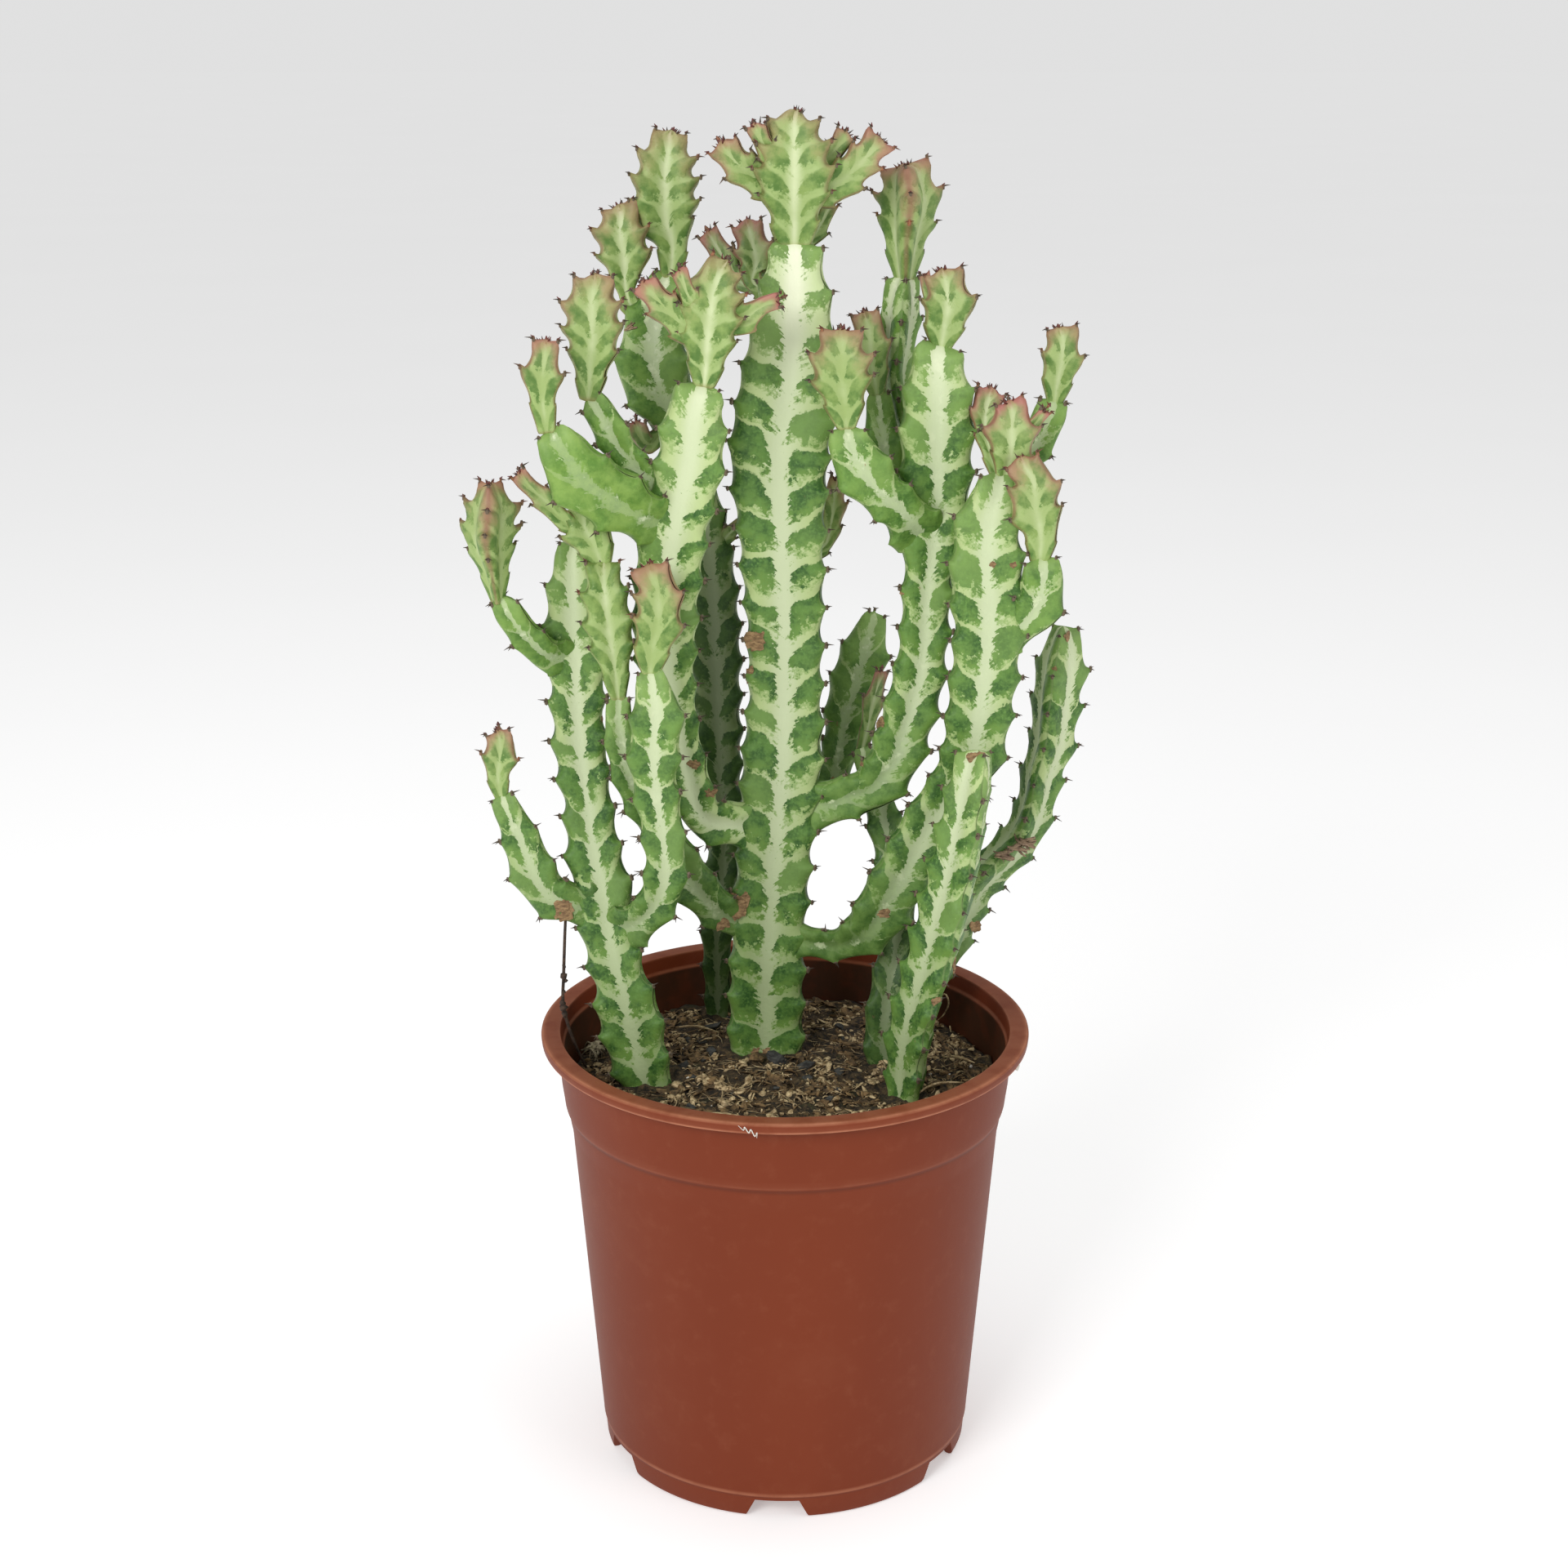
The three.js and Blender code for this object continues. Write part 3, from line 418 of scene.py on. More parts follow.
def new_group(name, inputs, outputs):
    """A node group whose inputs (name and default) and outputs are all numbers."""
    tree = bpy.data.node_groups.new(name, "ShaderNodeTree")
    for label, default in inputs.items():
        socket = tree.interface.new_socket(label, in_out="INPUT", socket_type="NodeSocketFloat")
        socket.default_value = default
    for label in outputs:
        tree.interface.new_socket(label, in_out="OUTPUT", socket_type="NodeSocketFloat")
    graph = Graph(tree)
    return graph, graph.add("NodeGroupInput"), tree.nodes.new("NodeGroupOutput").inputs


def new_material(name):
    material = bpy.data.materials.new(name)
    material.use_nodes = True
    return material, Graph(material.node_tree)


# ---------------------------------------------------------------- shared effects


def make_marbling():
    """A stem's markings: a pale stripe down each face, and green patches with pale veins between.

    A patch has a clean upper edge and a blunt inner end, and frays into lighter green below.
    """
    graph, given, out = new_group(
        "marbling", {"Stripe": 0.18, "Lean": 0.6, "Ragged": 1.0, "Fill": 0.38, "Soft": 0.0},
        ["Dark", "Fringe", "Low", "Weak", "Rib", "Blotch"])
    ragged, soft = given["Ragged"], given["Soft"]
    skin = graph.add("ShaderNodeUVMap", uv_map="skin")["UV"]
    place = graph.add("ShaderNodeSeparateXYZ", {0: skin})
    turn = place["X"]
    rib = graph.math("ABSOLUTE", graph.math("FRACT", turn) - 0.5) * 2
    broad = graph.noise(75, 2) - 0.5
    middle = (graph.noise(420, 3, 0.6) - 0.5) * ragged
    fine = (graph.noise(1300, 2, 0.6) - 0.5) * ragged
    level = (1 - rib) * given["Lean"] + place["Y"]
    fingers = (graph.noise(1, 3, 0.6, graph.vector(turn * 4, level * 13)) - 0.5) * ragged
    phase = middle * 0.2 + broad + level + 0.4
    beat = graph.math("FRACT", phase)
    # One throw of dice for each patch, so that no two are of one size.
    patch = graph.vector(graph.math("FLOOR", turn * 2), graph.math("FLOOR", phase))
    dice = graph.add("ShaderNodeTexWhiteNoise", {"Vector": patch}, noise_dimensions="3D")
    more_dice = graph.add("ShaderNodeSeparateColor", {0: dice["Color"]})
    wide = given["Stripe"] + ((dice["Value"] - 0.5) * 0.16 + broad * 0.14)
    shifted = rib + (fingers * 0.5 + middle * 0.4)
    open_out = graph.step(shifted, wide, wide + (soft * 0.9 + 0.3))
    full = given["Fill"] + ((more_dice["Green"] - 0.5) * 0.2 + rib * 0.06)
    half = open_out * (full + 0.1) - 0.1
    above = half + 0.5 - beat + (middle * 0.15 + fine * 0.14)
    below = half - 0.5 + beat + (middle * 0.95 + fine * 0.45)
    blur = soft * 0.7 + 0.04
    graph.plug(out["Dark"], graph.step(graph.math("MINIMUM", above, below), 0.0, blur))
    near = graph.step(graph.math("MINIMUM", above + 0.04, below + (fingers * 0.4 + 0.24)), 0.0, blur + 0.14)
    graph.plug(out["Fringe"], near * graph.step(shifted, wide - 0.04, wide + 0.08))
    graph.plug(out["Low"], 1 - graph.step(beat, 0.2, 0.66))
    graph.plug(out["Weak"], graph.step(more_dice["Blue"], 0.8, 0.95) * 0.7)
    graph.plug(out["Rib"], rib)
    graph.plug(out["Blotch"], graph.noise(190, 4, 0.6))


def make_grime():
    """Dust and scuffs: a soft mask that gathers in patches."""
    graph, given, out = new_group("grime", {"Scale": 60.0, "Amount": 0.3}, ["Mask", "Grain"])
    patches = graph.step(graph.noise(given["Scale"], 5, 0.65), 0.5, 0.78)
    graph.plug(out["Mask"], patches * given["Amount"])
    graph.plug(out["Grain"], graph.noise(given["Scale"] * 18, 3, 0.7))


# ---------------------------------------------------------------- materials


def stem_skin():
    material, graph = new_material("stem_skin")
    height, green, pale = graph.attribute("height"), graph.attribute("tint"), graph.attribute("plain")
    # Painted light: lit, high_up and crown make the skin's colours darker low on the plant and lighter
    # towards its top.
    lit, high_up, crown = (graph.step(height, *ends) for ends in ((-0.05, 0.5), (0.2, 0.75), (0.82, 1.0)))
    fresh_end = graph.step(graph.attribute("tip"), 0.8, 1.0)
    open_top = graph.math("MAXIMUM", crown * 0.6, fresh_end)
    wide = pale * 0.11 + (open_top * 0.12 + graph.blend(lit, 0.12, 0.14))
    full = pale * -0.05 + (crown * -0.08 + graph.blend(height, 0.36, 0.31))
    mask = graph.use("marbling", stripe=wide, lean=0.6, ragged=1.1, fill=graph.blend(green, full, 0.5))
    rib, blotch = mask["Rib"], mask["Blotch"]
    deep = graph.mix(graph.step(blotch, 0.36, 0.66), srgb(50, 90, 36), srgb(94, 134, 58))
    deep = graph.mix(mask["Low"] * graph.step(blotch, 0.3, 0.6), deep, srgb(112, 148, 66))
    speckled = graph.mix(graph.step(graph.noise(1000, 3), 0.4, 0.85), deep, srgb(106, 148, 70))
    faint = graph.mix(mask["Weak"], speckled, srgb(122, 156, 80))
    fresh = graph.mix(graph.step(blotch, 0.3, 0.7),
                      graph.mix(high_up, srgb(74, 110, 42), srgb(94, 136, 46)),
                      graph.mix(high_up, srgb(112, 144, 72), srgb(136, 168, 78)))
    leafy = graph.mix(fresh_end * 0.55, graph.mix(green, faint, fresh), srgb(146, 176, 100))
    stripe = graph.mix(crown, graph.mix(lit, srgb(176, 194, 142), srgb(206, 217, 176)), srgb(238, 242, 212))
    edge = graph.mix(crown, graph.mix(lit, srgb(142, 168, 104), srgb(182, 200, 136)), srgb(200, 216, 160))
    vein = graph.mix(graph.step(rib, 0.15, 0.8), stripe, edge)
    fringe = graph.mix(mask["Fringe"] * 0.7, vein, srgb(138, 170, 92))
    cover = graph.math("MAXIMUM", mask["Dark"], green * graph.step(blotch, 0.3, 0.45))
    crest = graph.mix(graph.step(rib, 0.93, 1.0) * 0.5, graph.mix(cover, fringe, leafy), srgb(128, 148, 92))
    nicks = graph.step(graph.noise(1, 2, 0.5, graph.stretched((420, 420, 170))), 0.755, 0.79)
    marked = graph.mix(nicks * 0.7, crest, srgb(140, 112, 76))
    relief = graph.noise(700, 3, 0.6) + mask["Dark"] * 0.3
    # Painted shade: the skin's colour is darkened by the stem's shade value.
    graph.coat(graph.mix(graph.attribute("shade"), srgb(18, 34, 16), marked),
               graph.blend(graph.noise(400, 3), 0.42, 0.62), graph.bump(relief, 0.3, 0.0006), shine=0.35)
    return material


def young_growth():
    material, graph = new_material("young_growth")
    tip, warmth = graph.attribute("tip"), graph.attribute("tint")
    mask = graph.use("marbling", stripe=graph.blend(graph.step(tip, 0.1, 0.8), 0.13, -0.04), lean=1.0,
                     ragged=0.8, fill=0.36, soft=0.17)
    rib, blotch = mask["Rib"], mask["Blotch"]
    base = graph.mix(graph.step(blotch, 0.32, 0.68), srgb(84, 120, 50), srgb(136, 162, 86))
    veil = graph.step(graph.noise(120, 2), 0.35, 0.65) * 0.3 + graph.attribute("plain") * 0.75
    pale = graph.mix(graph.step(rib, 0.0, 0.5), srgb(204, 215, 168), srgb(160, 182, 114))
    pale = graph.mix(veil, pale, srgb(152, 174, 104))
    fringe = graph.mix(mask["Fringe"] * 0.8, pale, srgb(148, 172, 102))
    body = graph.mix(mask["Dark"], fringe, base)
    mottle = (blotch - 0.5) * 0.9 + tip
    faded = graph.mix(graph.step(mottle, 0.3, 1.0) * warmth * 0.4, body, srgb(172, 178, 128))
    edge = rib * 0.62 + (mottle * 0.85 - 0.2)
    flush = graph.math("MULTIPLY", graph.step(edge, 0.68, 1.15), warmth * 1.05, clamp=True)
    warm = graph.mix(flush, faded, srgb(176, 118, 106))
    warm = graph.mix(graph.step(rib, 0.8, 0.98) * (warmth * 0.6 + 0.12), warm, srgb(142, 92, 78))
    middle = 1 - graph.step(rib, 0.1, 0.6)
    red = graph.step(tip, 0.86, 1.0) * (middle * 0.5 + 0.3)
    rosy = graph.mix(graph.math("MULTIPLY", red, warmth * 0.9 + 0.15, clamp=True), warm, srgb(166, 70, 80))
    foot = graph.mix(graph.step(tip, 0.07, 0.0), rosy, srgb(158, 150, 100))
    # Painted shade: the bud's colour is darkened by its shade value.
    graph.coat(graph.mix(graph.attribute("shade"), srgb(30, 40, 20), foot),
               graph.blend(graph.noise(500, 3), 0.42, 0.6),
               graph.bump(graph.noise(650, 3, 0.6), 0.3, 0.0006), shine=0.35)
    return material


def spine_wood():
    material, graph = new_material("spine")
    old = graph.mix(graph.noise(1500, 2), srgb(24, 19, 17), srgb(60, 44, 34))
    fresh = graph.attribute("fresh") * graph.step(graph.noise(160, 2), 0.48, 0.72)
    shaft = graph.mix(fresh, old, srgb(104, 58, 38))
    pad = graph.mix(fresh, srgb(112, 96, 74), srgb(168, 108, 70))
    graph.coat(graph.mix(graph.attribute("foot") * 0.8, shaft, pad),
               graph.blend(graph.noise(900, 2), 0.4, 0.7))
    return material


def leaflet_red():
    material, graph = new_material("young_leaflet")
    graph.coat(graph.mix(graph.noise(420, 3), srgb(66, 28, 28), srgb(122, 60, 50)),
               graph.blend(graph.noise(900, 2), 0.4, 0.65))
    return material


def dry_bark(name, dark, light, scale):
    material, graph = new_material(name)
    fibre = graph.noise(1, 5, 0.7, graph.stretched((scale, scale, scale * 2.6)))
    graph.coat(graph.mix(graph.step(fibre, 0.3, 0.72), dark, light),
               graph.blend(fibre, 0.75, 0.98), graph.bump(fibre, 0.8, 0.0008))
    return material


def soil_earth():
    material, graph = new_material("soil")
    crumbs = graph.noise(420, 6, 0.7)
    tone = graph.mix(graph.step(crumbs, 0.38, 0.68), srgb(31, 24, 15), srgb(106, 86, 57))
    moss = graph.mix(graph.step(graph.noise(120, 4, 0.6), 0.58, 0.72), tone, srgb(58, 56, 28))
    husk = graph.mix(graph.step(graph.noise(900, 4, 0.75), 0.62, 0.74), moss, srgb(176, 154, 112))
    graph.coat(husk, graph.blend(crumbs, 0.8, 1.0), graph.bump(crumbs, 1.0, 0.002))
    return material


def perlite_grain():
    material, graph = new_material("perlite")
    pits = graph.noise(1800, 4, 0.7)
    graph.coat(graph.mix(pits, srgb(196, 190, 176), srgb(242, 240, 232)),
               graph.blend(pits, 0.7, 0.95), graph.bump(pits, 0.5, 0.0004))
    return material


def pot_plastic():
    material, graph = new_material("pot_plastic")
    dust = graph.use("grime", scale=26.0, amount=0.16)
    scuff = graph.use("grime", scale=150.0, amount=0.3)
    flow = graph.noise(1, 3, 0.5, graph.stretched((26, 26, 5)))
    tone = graph.mix(flow, srgb(111, 46, 22), srgb(120, 52, 26))
    dusty = graph.mix(dust["Mask"], tone, srgb(138, 80, 54))
    worn = graph.mix(scuff["Mask"] * 0.4, dusty, srgb(152, 92, 66))
    # Painted light: the rim's top and the pot's outer edges are lightened as painted highlight, and the
    # creases under the rim, under the collar and at the foot are darkened as painted shadow.
    wear, spotty = graph.attribute("wear"), graph.step(graph.noise(90, 4, 0.6), 0.3, 0.6)
    edged = graph.mix(graph.math("MAXIMUM", wear, 0.0) * (spotty * 0.4 + 0.35), worn, srgb(196, 132, 100))
    creased = graph.mix(graph.math("MINIMUM", wear, 0.0) * -0.5, edged, srgb(60, 26, 14))
    # Painted shade: the inner wall below the ledge is darkened.
    inner_wall_shade = graph.attribute("inside") * (spotty * 0.25 + 0.6)
    graph.coat(graph.mix(inner_wall_shade, creased, srgb(52, 36, 24)), graph.blend(scuff["Grain"], 0.42, 0.6),
               graph.bump(scuff["Grain"], 0.06, 0.0003), shine=0.16)
    return material


# ---------------------------------------------------------------- stem geometry


def spline_point(points, at):
    """A point of the smooth curve through the list, at a place counted in list steps."""
    span = min(int(at), len(points) - 2)
    t = at - span
    first, second = points[span], points[span + 1]
    before = points[span - 1] if span else 2 * first - second
    after = points[span + 2] if span + 2 < len(points) else 2 * second - first
    return 0.5 * (2 * first + (second - before) * t
                  + (2 * before - 5 * first + 4 * second - after) * t * t
                  + (3 * first - before - 3 * second + after) * t ** 3)


def held(value):
    """The value, kept between 0 and 1."""
    return min(1.0, max(0.0, value))


class Path:
    """An axis measured along its length: places, directions and crest radius, in metres."""

    PER_SPAN = 16

    def __init__(self, axis):
        points = [Vector(point) * MM for point in axis.points]
        count = (len(points) - 1) * self.PER_SPAN
        self.samples = [spline_point(points, i / self.PER_SPAN) for i in range(count + 1)]
        self.marks = [0.0]
        for near, far in zip(self.samples, self.samples[1:]):
            self.marks.append(self.marks[-1] + (far.xyz - near.xyz).length)
        self.length = self.marks[-1]
        self.roll = math.radians(60 + axis.turn)
        self.young = axis.young
        self.growth = YOUNG if axis.young else OLD
        long_cap = LONG_CAPS.get(axis.name, 0) * MM
        self.cap = long_cap or min(self.growth.cap * MM, self.samples[-1].w * 0.8)
        bare_tip = self.cap * (0.6 if long_cap else 0.9) if axis.young else BARE_TIP * MM
        teeth = max(2, round(self.length / (self.growth.pitch * MM))) - 0.5
        self.teeth = teeth / (1 - bare_tip / self.length) ** self.growth.crowd
        self.blunt = TOOTH_TIP * MM * self.teeth / self.length
        self.merges = not axis.young and axis.points[0][2] > SOIL_TOP
        self.lift = self.growth.lift * MM

    def at(self, along):
        """Place, crest radius, direction, and the two directions square to it."""
        high = max(1, next((i for i, mark in enumerate(self.marks) if mark > along), len(self.marks) - 1))
        low_mark, high_mark = self.marks[high - 1], self.marks[high]
        share = (along - low_mark) / (high_mark - low_mark)
        near, far = self.samples[high - 1], self.samples[high]
        here = near.lerp(far, held(share))
        behind = self.samples[max(0, high - 2)]
        beyond = self.samples[min(len(self.samples) - 1, high + 1)]
        direction = (beyond.xyz - behind.xyz).normalized()
        front = (Vector((0, -1, 0)) + direction * direction.y).normalized()
        side = direction.cross(front)
        return here.xyz, max(here.w, LEAST_RADIUS * MM) * self.growth.ratio, direction, front, side

    def outward(self, front, side, angle):
        return front * math.cos(angle + self.roll) + side * math.sin(angle + self.roll)

    def moved(self, here, offset, front, along):
        """A place beside the axis; where a branch leaves its parent it is flat from front to back."""
        if not self.merges or along > MERGE_LENGTH * MM:
            return here + offset
        t = along / (MERGE_LENGTH * MM)
        return here + offset - front * offset.dot(front) * 0.5 * (1 - t * t * (3 - 2 * t))

    def notch(self, along, rib, jitter):
        """How deep between two teeth this spot of a rib lies: 0 on a tooth, 1 in the hollow above it."""
        phase = (self.count(along) + jitter[rib % 3] + self.blunt) % 1.0
        beyond = max(0.0, phase - 2 * self.blunt) / (1 - 2 * self.blunt)
        return math.sin(math.pi * beyond ** 0.8) ** self.growth.cusp

    def count(self, along):
        """How many teeth lie below this place; they crowd towards a young tip."""
        return (along / self.length) ** self.growth.crowd * self.teeth - 0.5

    def place_of(self, number):
        return ((number + 0.5) / self.teeth) ** (1 / self.growth.crowd) * self.length

    def crest(self, along, radius, notch):
        """The rib's own radius: full at each tooth and scooped out between, deepest near a young tip."""
        deepening = 0.65 + 0.5 * along / self.length if self.young else 1.0
        return radius - min(self.growth.depth * MM, radius * self.growth.share) * notch * deepening

    def rounding(self, along):
        """Closes both ends: 1 along the stem, falling to 0 at the root and the tip."""
        for from_end, cap in ((self.length - along, self.cap), (along, ROOT_CAP * MM)):
            if from_end < cap:
                return math.sqrt(max(0.0, 1 - (1 - from_end / cap) ** 2))
        return 1.0


def rib_jitter(axis):
    """How far each of a stem's three rows of teeth is out of step with the others."""
    draw = random.Random(axis.name)
    return [draw.uniform(-RIB_JITTER, RIB_JITTER) for _ in range(3)]


def grow_skin(bm, axis, order, shade):
    """Bends a grid into one closed, three-ribbed, toothed stem and marks its skin."""
    path, jitter = Path(axis), rib_jitter(axis)
    rings = max(12, round(path.length / (RING_STEP * MM)))
    alongs = [j / rings * path.length for j in range(rings + 1)]
    marks = {name: bm.verts.layers.float[name] for name in SKIN_MARKS}
    skin = bm.loops.layers.uv["skin"]
    green_base = 0.0 if axis.young else GREEN_BASE.get(axis.name, 0.0)
    grid = bmesh.ops.create_grid(bm, x_segments=AROUND, y_segments=rings, size=1)["verts"]
    spot = {v: (round((v.co.x + 1) / 2 * AROUND), round((v.co.y + 1) / 2 * rings)) for v in grid}
    for face in {face for v in grid for face in v.link_faces}:
        middle = sum(spot[v][0] for v in face.verts) / 4 * 3 / AROUND
        bulge = jitter[round(middle) % 3]
        for loop in face.loops:
            i, j = spot[loop.vert]
            rib = math.floor(middle)
            across = min(max(i * 3 / AROUND, rib + 1e-4), rib + 1 - 1e-4)
            loop[skin].uv = (across, path.count(alongs[j]) + bulge + SKIN_APART * order)
    frames = [path.at(along) for along in alongs]
    for v, (i, j) in spot.items():
        here, radius, direction, front, side = frames[j]
        along, turn = alongs[j], i * 3 / AROUND
        across = turn % 1.0
        edge = radius + WING_EDGE * MM * min(1.0, radius / (WING_FULL_AT * MM))
        flat = 0.5 * edge / math.cos(math.radians(120 * (across - 0.5)))
        flat *= 1 - path.growth.hollow * math.sin(math.pi * across) ** 2
        notch = path.notch(along, int(turn + 0.5), jitter)
        crest = path.crest(along, radius, notch)
        reach = (flat ** -CREST_SHARPNESS + crest ** -CREST_SHARPNESS) ** (-1 / CREST_SHARPNESS)
        reach *= path.rounding(along)
        if reach > RIPPLE_FROM * MM:
            reach += noise.noise(here * 60 + Vector((i, 0, 0)) * 0.02) * RIPPLE * MM
        offset = path.outward(front, side, turn * math.tau / 3) * reach
        v.co = path.moved(here, offset, front, along)
        ridge = abs(2 * across - 1) ** 6
        v.co += direction * path.lift * ridge * (1 - notch) ** 1.5 * path.rounding(along)
        v[marks["tip"]] = along / path.length
        v[marks["tint"]] = max(axis.tint, green_base * held(1.6 - along / path.length * 4.2))
        v[marks["plain"]] = PLAIN.get(axis.name, 0.0)
        # Painted shade: the stem's shade value, lifted to full light towards an old stem's tip.
        fresh = 0.0 if axis.young else max(0.0, 1 - (path.length - along) / (SHADE_FADE_LENGTH * MM)) ** 2
        v[marks["shade"]] = shade + (1 - shade) * fresh
        v[marks["height"]] = held((here.z / MM - PLANT_FOOT) / PLANT_SPAN)
    ends = [v for v, (i, j) in spot.items() if i in (0, AROUND) or j in (0, rings)]
    bmesh.ops.remove_doubles(bm, verts=ends, dist=1e-6)


def skin_object(name, axes, shades, look):
    bm = bmesh.new()
    bm.loops.layers.uv.new("skin")
    for mark in SKIN_MARKS:
        bm.verts.layers.float.new(mark)
    for order, axis in enumerate(axes):
        grow_skin(bm, axis, order, shades.get(axis.name, 1.0))
    bmesh.ops.recalc_face_normals(bm, faces=bm.faces)
    return finish_object(name, bm, look)


def mesh_of(name, bm):
    """Turns a finished bmesh into a mesh and frees it."""
    mesh = bpy.data.meshes.new(name)
    bm.to_mesh(mesh)
    bm.free()
    return mesh


def put_in_scene(name, data):
    made = bpy.data.objects.new(name, data)
    bpy.context.scene.collection.objects.link(made)
    return made


def knock(verts, share, size, draw):
    """Pushes each vertex about at random, by up to a share of the size in millimetres."""
    for v in verts:
        v.co += Vector(draw.uniform(-share, share) * size * MM for _ in range(3))


def keep_in_size(bm):
    """Holds the outermost teeth and spines to the plant's measured width and height."""
    low, high = CAD_BOX
    for v in bm.verts:
        v.co = Vector(min(max(value, least), most) for value, least, most in zip(v.co, low, high))


def finish_object(name, bm, look, smooth=True, slot=None):
    """Makes a piece with the look of that name; the slot it would belong to is worked out but not given to
    it.
    """
    keep_in_size(bm)
    mesh = mesh_of(name, bm)
    mesh.shade_smooth() if smooth else mesh.shade_flat()
    mesh.materials.append(MATERIALS[look])
    piece = put_in_scene(name, mesh)
    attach(piece, "root")
    slot = slot or SLOTS.get(look, "dry_matter")
    return piece


# ---------------------------------------------------------------- spines and leaflets


def teeth_of(axis):
    """Each tooth's tip: place, outward direction, direction along the rib, and share of the length."""
    path, jitter = Path(axis), rib_jitter(axis)
    first = (BARE_ROOT if len(axis.points) > 3 else BARE_SHORT_ROOT) * MM
    if axis.points[0][2] < SOIL_TOP:
        first = (SOIL_TOP + BARE_ABOVE_SOIL - axis.points[0][2]) * MM
    for rib in range(3):
        for count in range(int(path.teeth) + 2):
            if count - jitter[rib] > path.teeth:
                continue
            along = path.place_of(max(0.0, count - jitter[rib]))
            if not first < along < path.length - LAST_SPINE * MM:
                continue
            here, radius, direction, front, side = path.at(along)
            out = path.outward(front, side, rib * math.tau / 3)
            reach = radius * path.rounding(along)
            place = path.moved(here, out * reach, front, along)
            yield place + direction * path.lift, out, direction, along / path.length


def turned(place, aim, across):
    """A matrix whose Z runs along aim and whose X lies near across."""
    z = aim.normalized()
    x = (across - z * across.dot(z)).normalized()
    y = z.cross(x)
    return Matrix.Translation(place) @ Matrix((x, y, z)).transposed().to_4x4()


def add_spike(bm, foot, place, aim, across, length):
    """One spine; its foot is marked, because it is paler there."""
    radius = SPINE_RADIUS * MM
    step = Matrix.Translation((0, 0, length / 2))
    made = bmesh.ops.create_cone(bm, cap_ends=True, segments=5, radius1=radius, radius2=radius * 0.12,
                                 depth=length, matrix=turned(place, aim, across) @ step)["verts"]
    for v in made:
        v[foot] = max(0.0, 1 - (v.co - place).length / (length * 0.4))


def spines_object(name, axes):
    """Paired spines on a small horny pad at each tooth, and a few more around each young apex."""
    draw = random.Random(name)
    bm = bmesh.new()
    foot, fresh = bm.verts.layers.float.new("foot"), bm.verts.layers.float.new("fresh")
    for axis in axes:
        first = len(bm.verts)
        for place, out, direction, _ in teeth_of(axis):
            across = out.cross(direction)
            size = draw.uniform(0.75, 1.15) * (0.85 if axis.young else 1.0)
            pad = turned(place - out * 0.3 * MM - direction * 0.4 * MM, out, direction)
            pad = pad @ Matrix.Diagonal((1.5, 0.9, 0.75, 1))
            made = bmesh.ops.create_icosphere(bm, subdivisions=1, radius=PAD_RADIUS * MM * size, matrix=pad)
            for v in made["verts"]:
                v[foot] = 0.9
            for sign in (-1, 1):
                aim = out + across * sign * draw.uniform(0.5, 0.95) + direction * draw.uniform(-0.25, 0.3)
                length = SPINE_LENGTH * MM * size * draw.uniform(0.7, 1.1)
                add_spike(bm, foot, place - out * 0.4 * MM, aim, direction, length)
        if axis.young:
            for place, aim, out in apex_places(axis, draw, 5, 0.9):
                add_spike(bm, foot, place, aim, out, draw.uniform(1.5, 2.4) * MM)
        for v in list(bm.verts)[first:]:
            v[fresh] = float(axis.young)
    return finish_object(name, bm, "spine", smooth=False)


def apex_places(axis, draw, count, wide):
    """Places round an axis's tip, each with a direction up and out of it."""
    path = Path(axis)
    here, radius, direction, front, side = path.at(path.length)
    for turn in range(count if radius > 5 * MM else 3):
        out = path.outward(front, side, turn * math.tau / 3 + draw.uniform(-0.6, 0.6))
        reach = min(radius * draw.uniform(0.1, 0.6) * wide, path.cap * 0.8)
        yield here + out * reach - direction * 0.8 * MM, direction + out * draw.uniform(0.1, 0.9), out


def leaflets_object(name, axes):
    """Small red leaf remnants on the uppermost teeth of the young tips, and a tuft of them at each apex."""
    draw = random.Random(name)
    bm = bmesh.new()
    for axis in axes:
        for place, out, direction, share in teeth_of(axis):
            if share > 0.7:
                add_leaflet(bm, place - out * 0.5 * MM, out + direction * 0.9, direction,
                            draw.uniform(0.8, 1.4) * (0.6 + 0.6 * share))
        for place, aim, out in apex_places(axis, draw, 5, 0.8):
            add_leaflet(bm, place, aim, out, draw.uniform(1.0, 1.9))
    return finish_object(name, bm, "young_leaflet")


def add_leaflet(bm, place, aim, across, length):
    shape = turned(place, aim, across) @ Matrix.Translation((0, 0, length * MM / 2))
    bmesh.ops.create_cone(bm, cap_ends=True, segments=6, radius1=0.7 * MM, radius2=0.2 * MM,
                          depth=length * MM, matrix=shape @ Matrix.Diagonal((0.5, 1, 1, 1)))


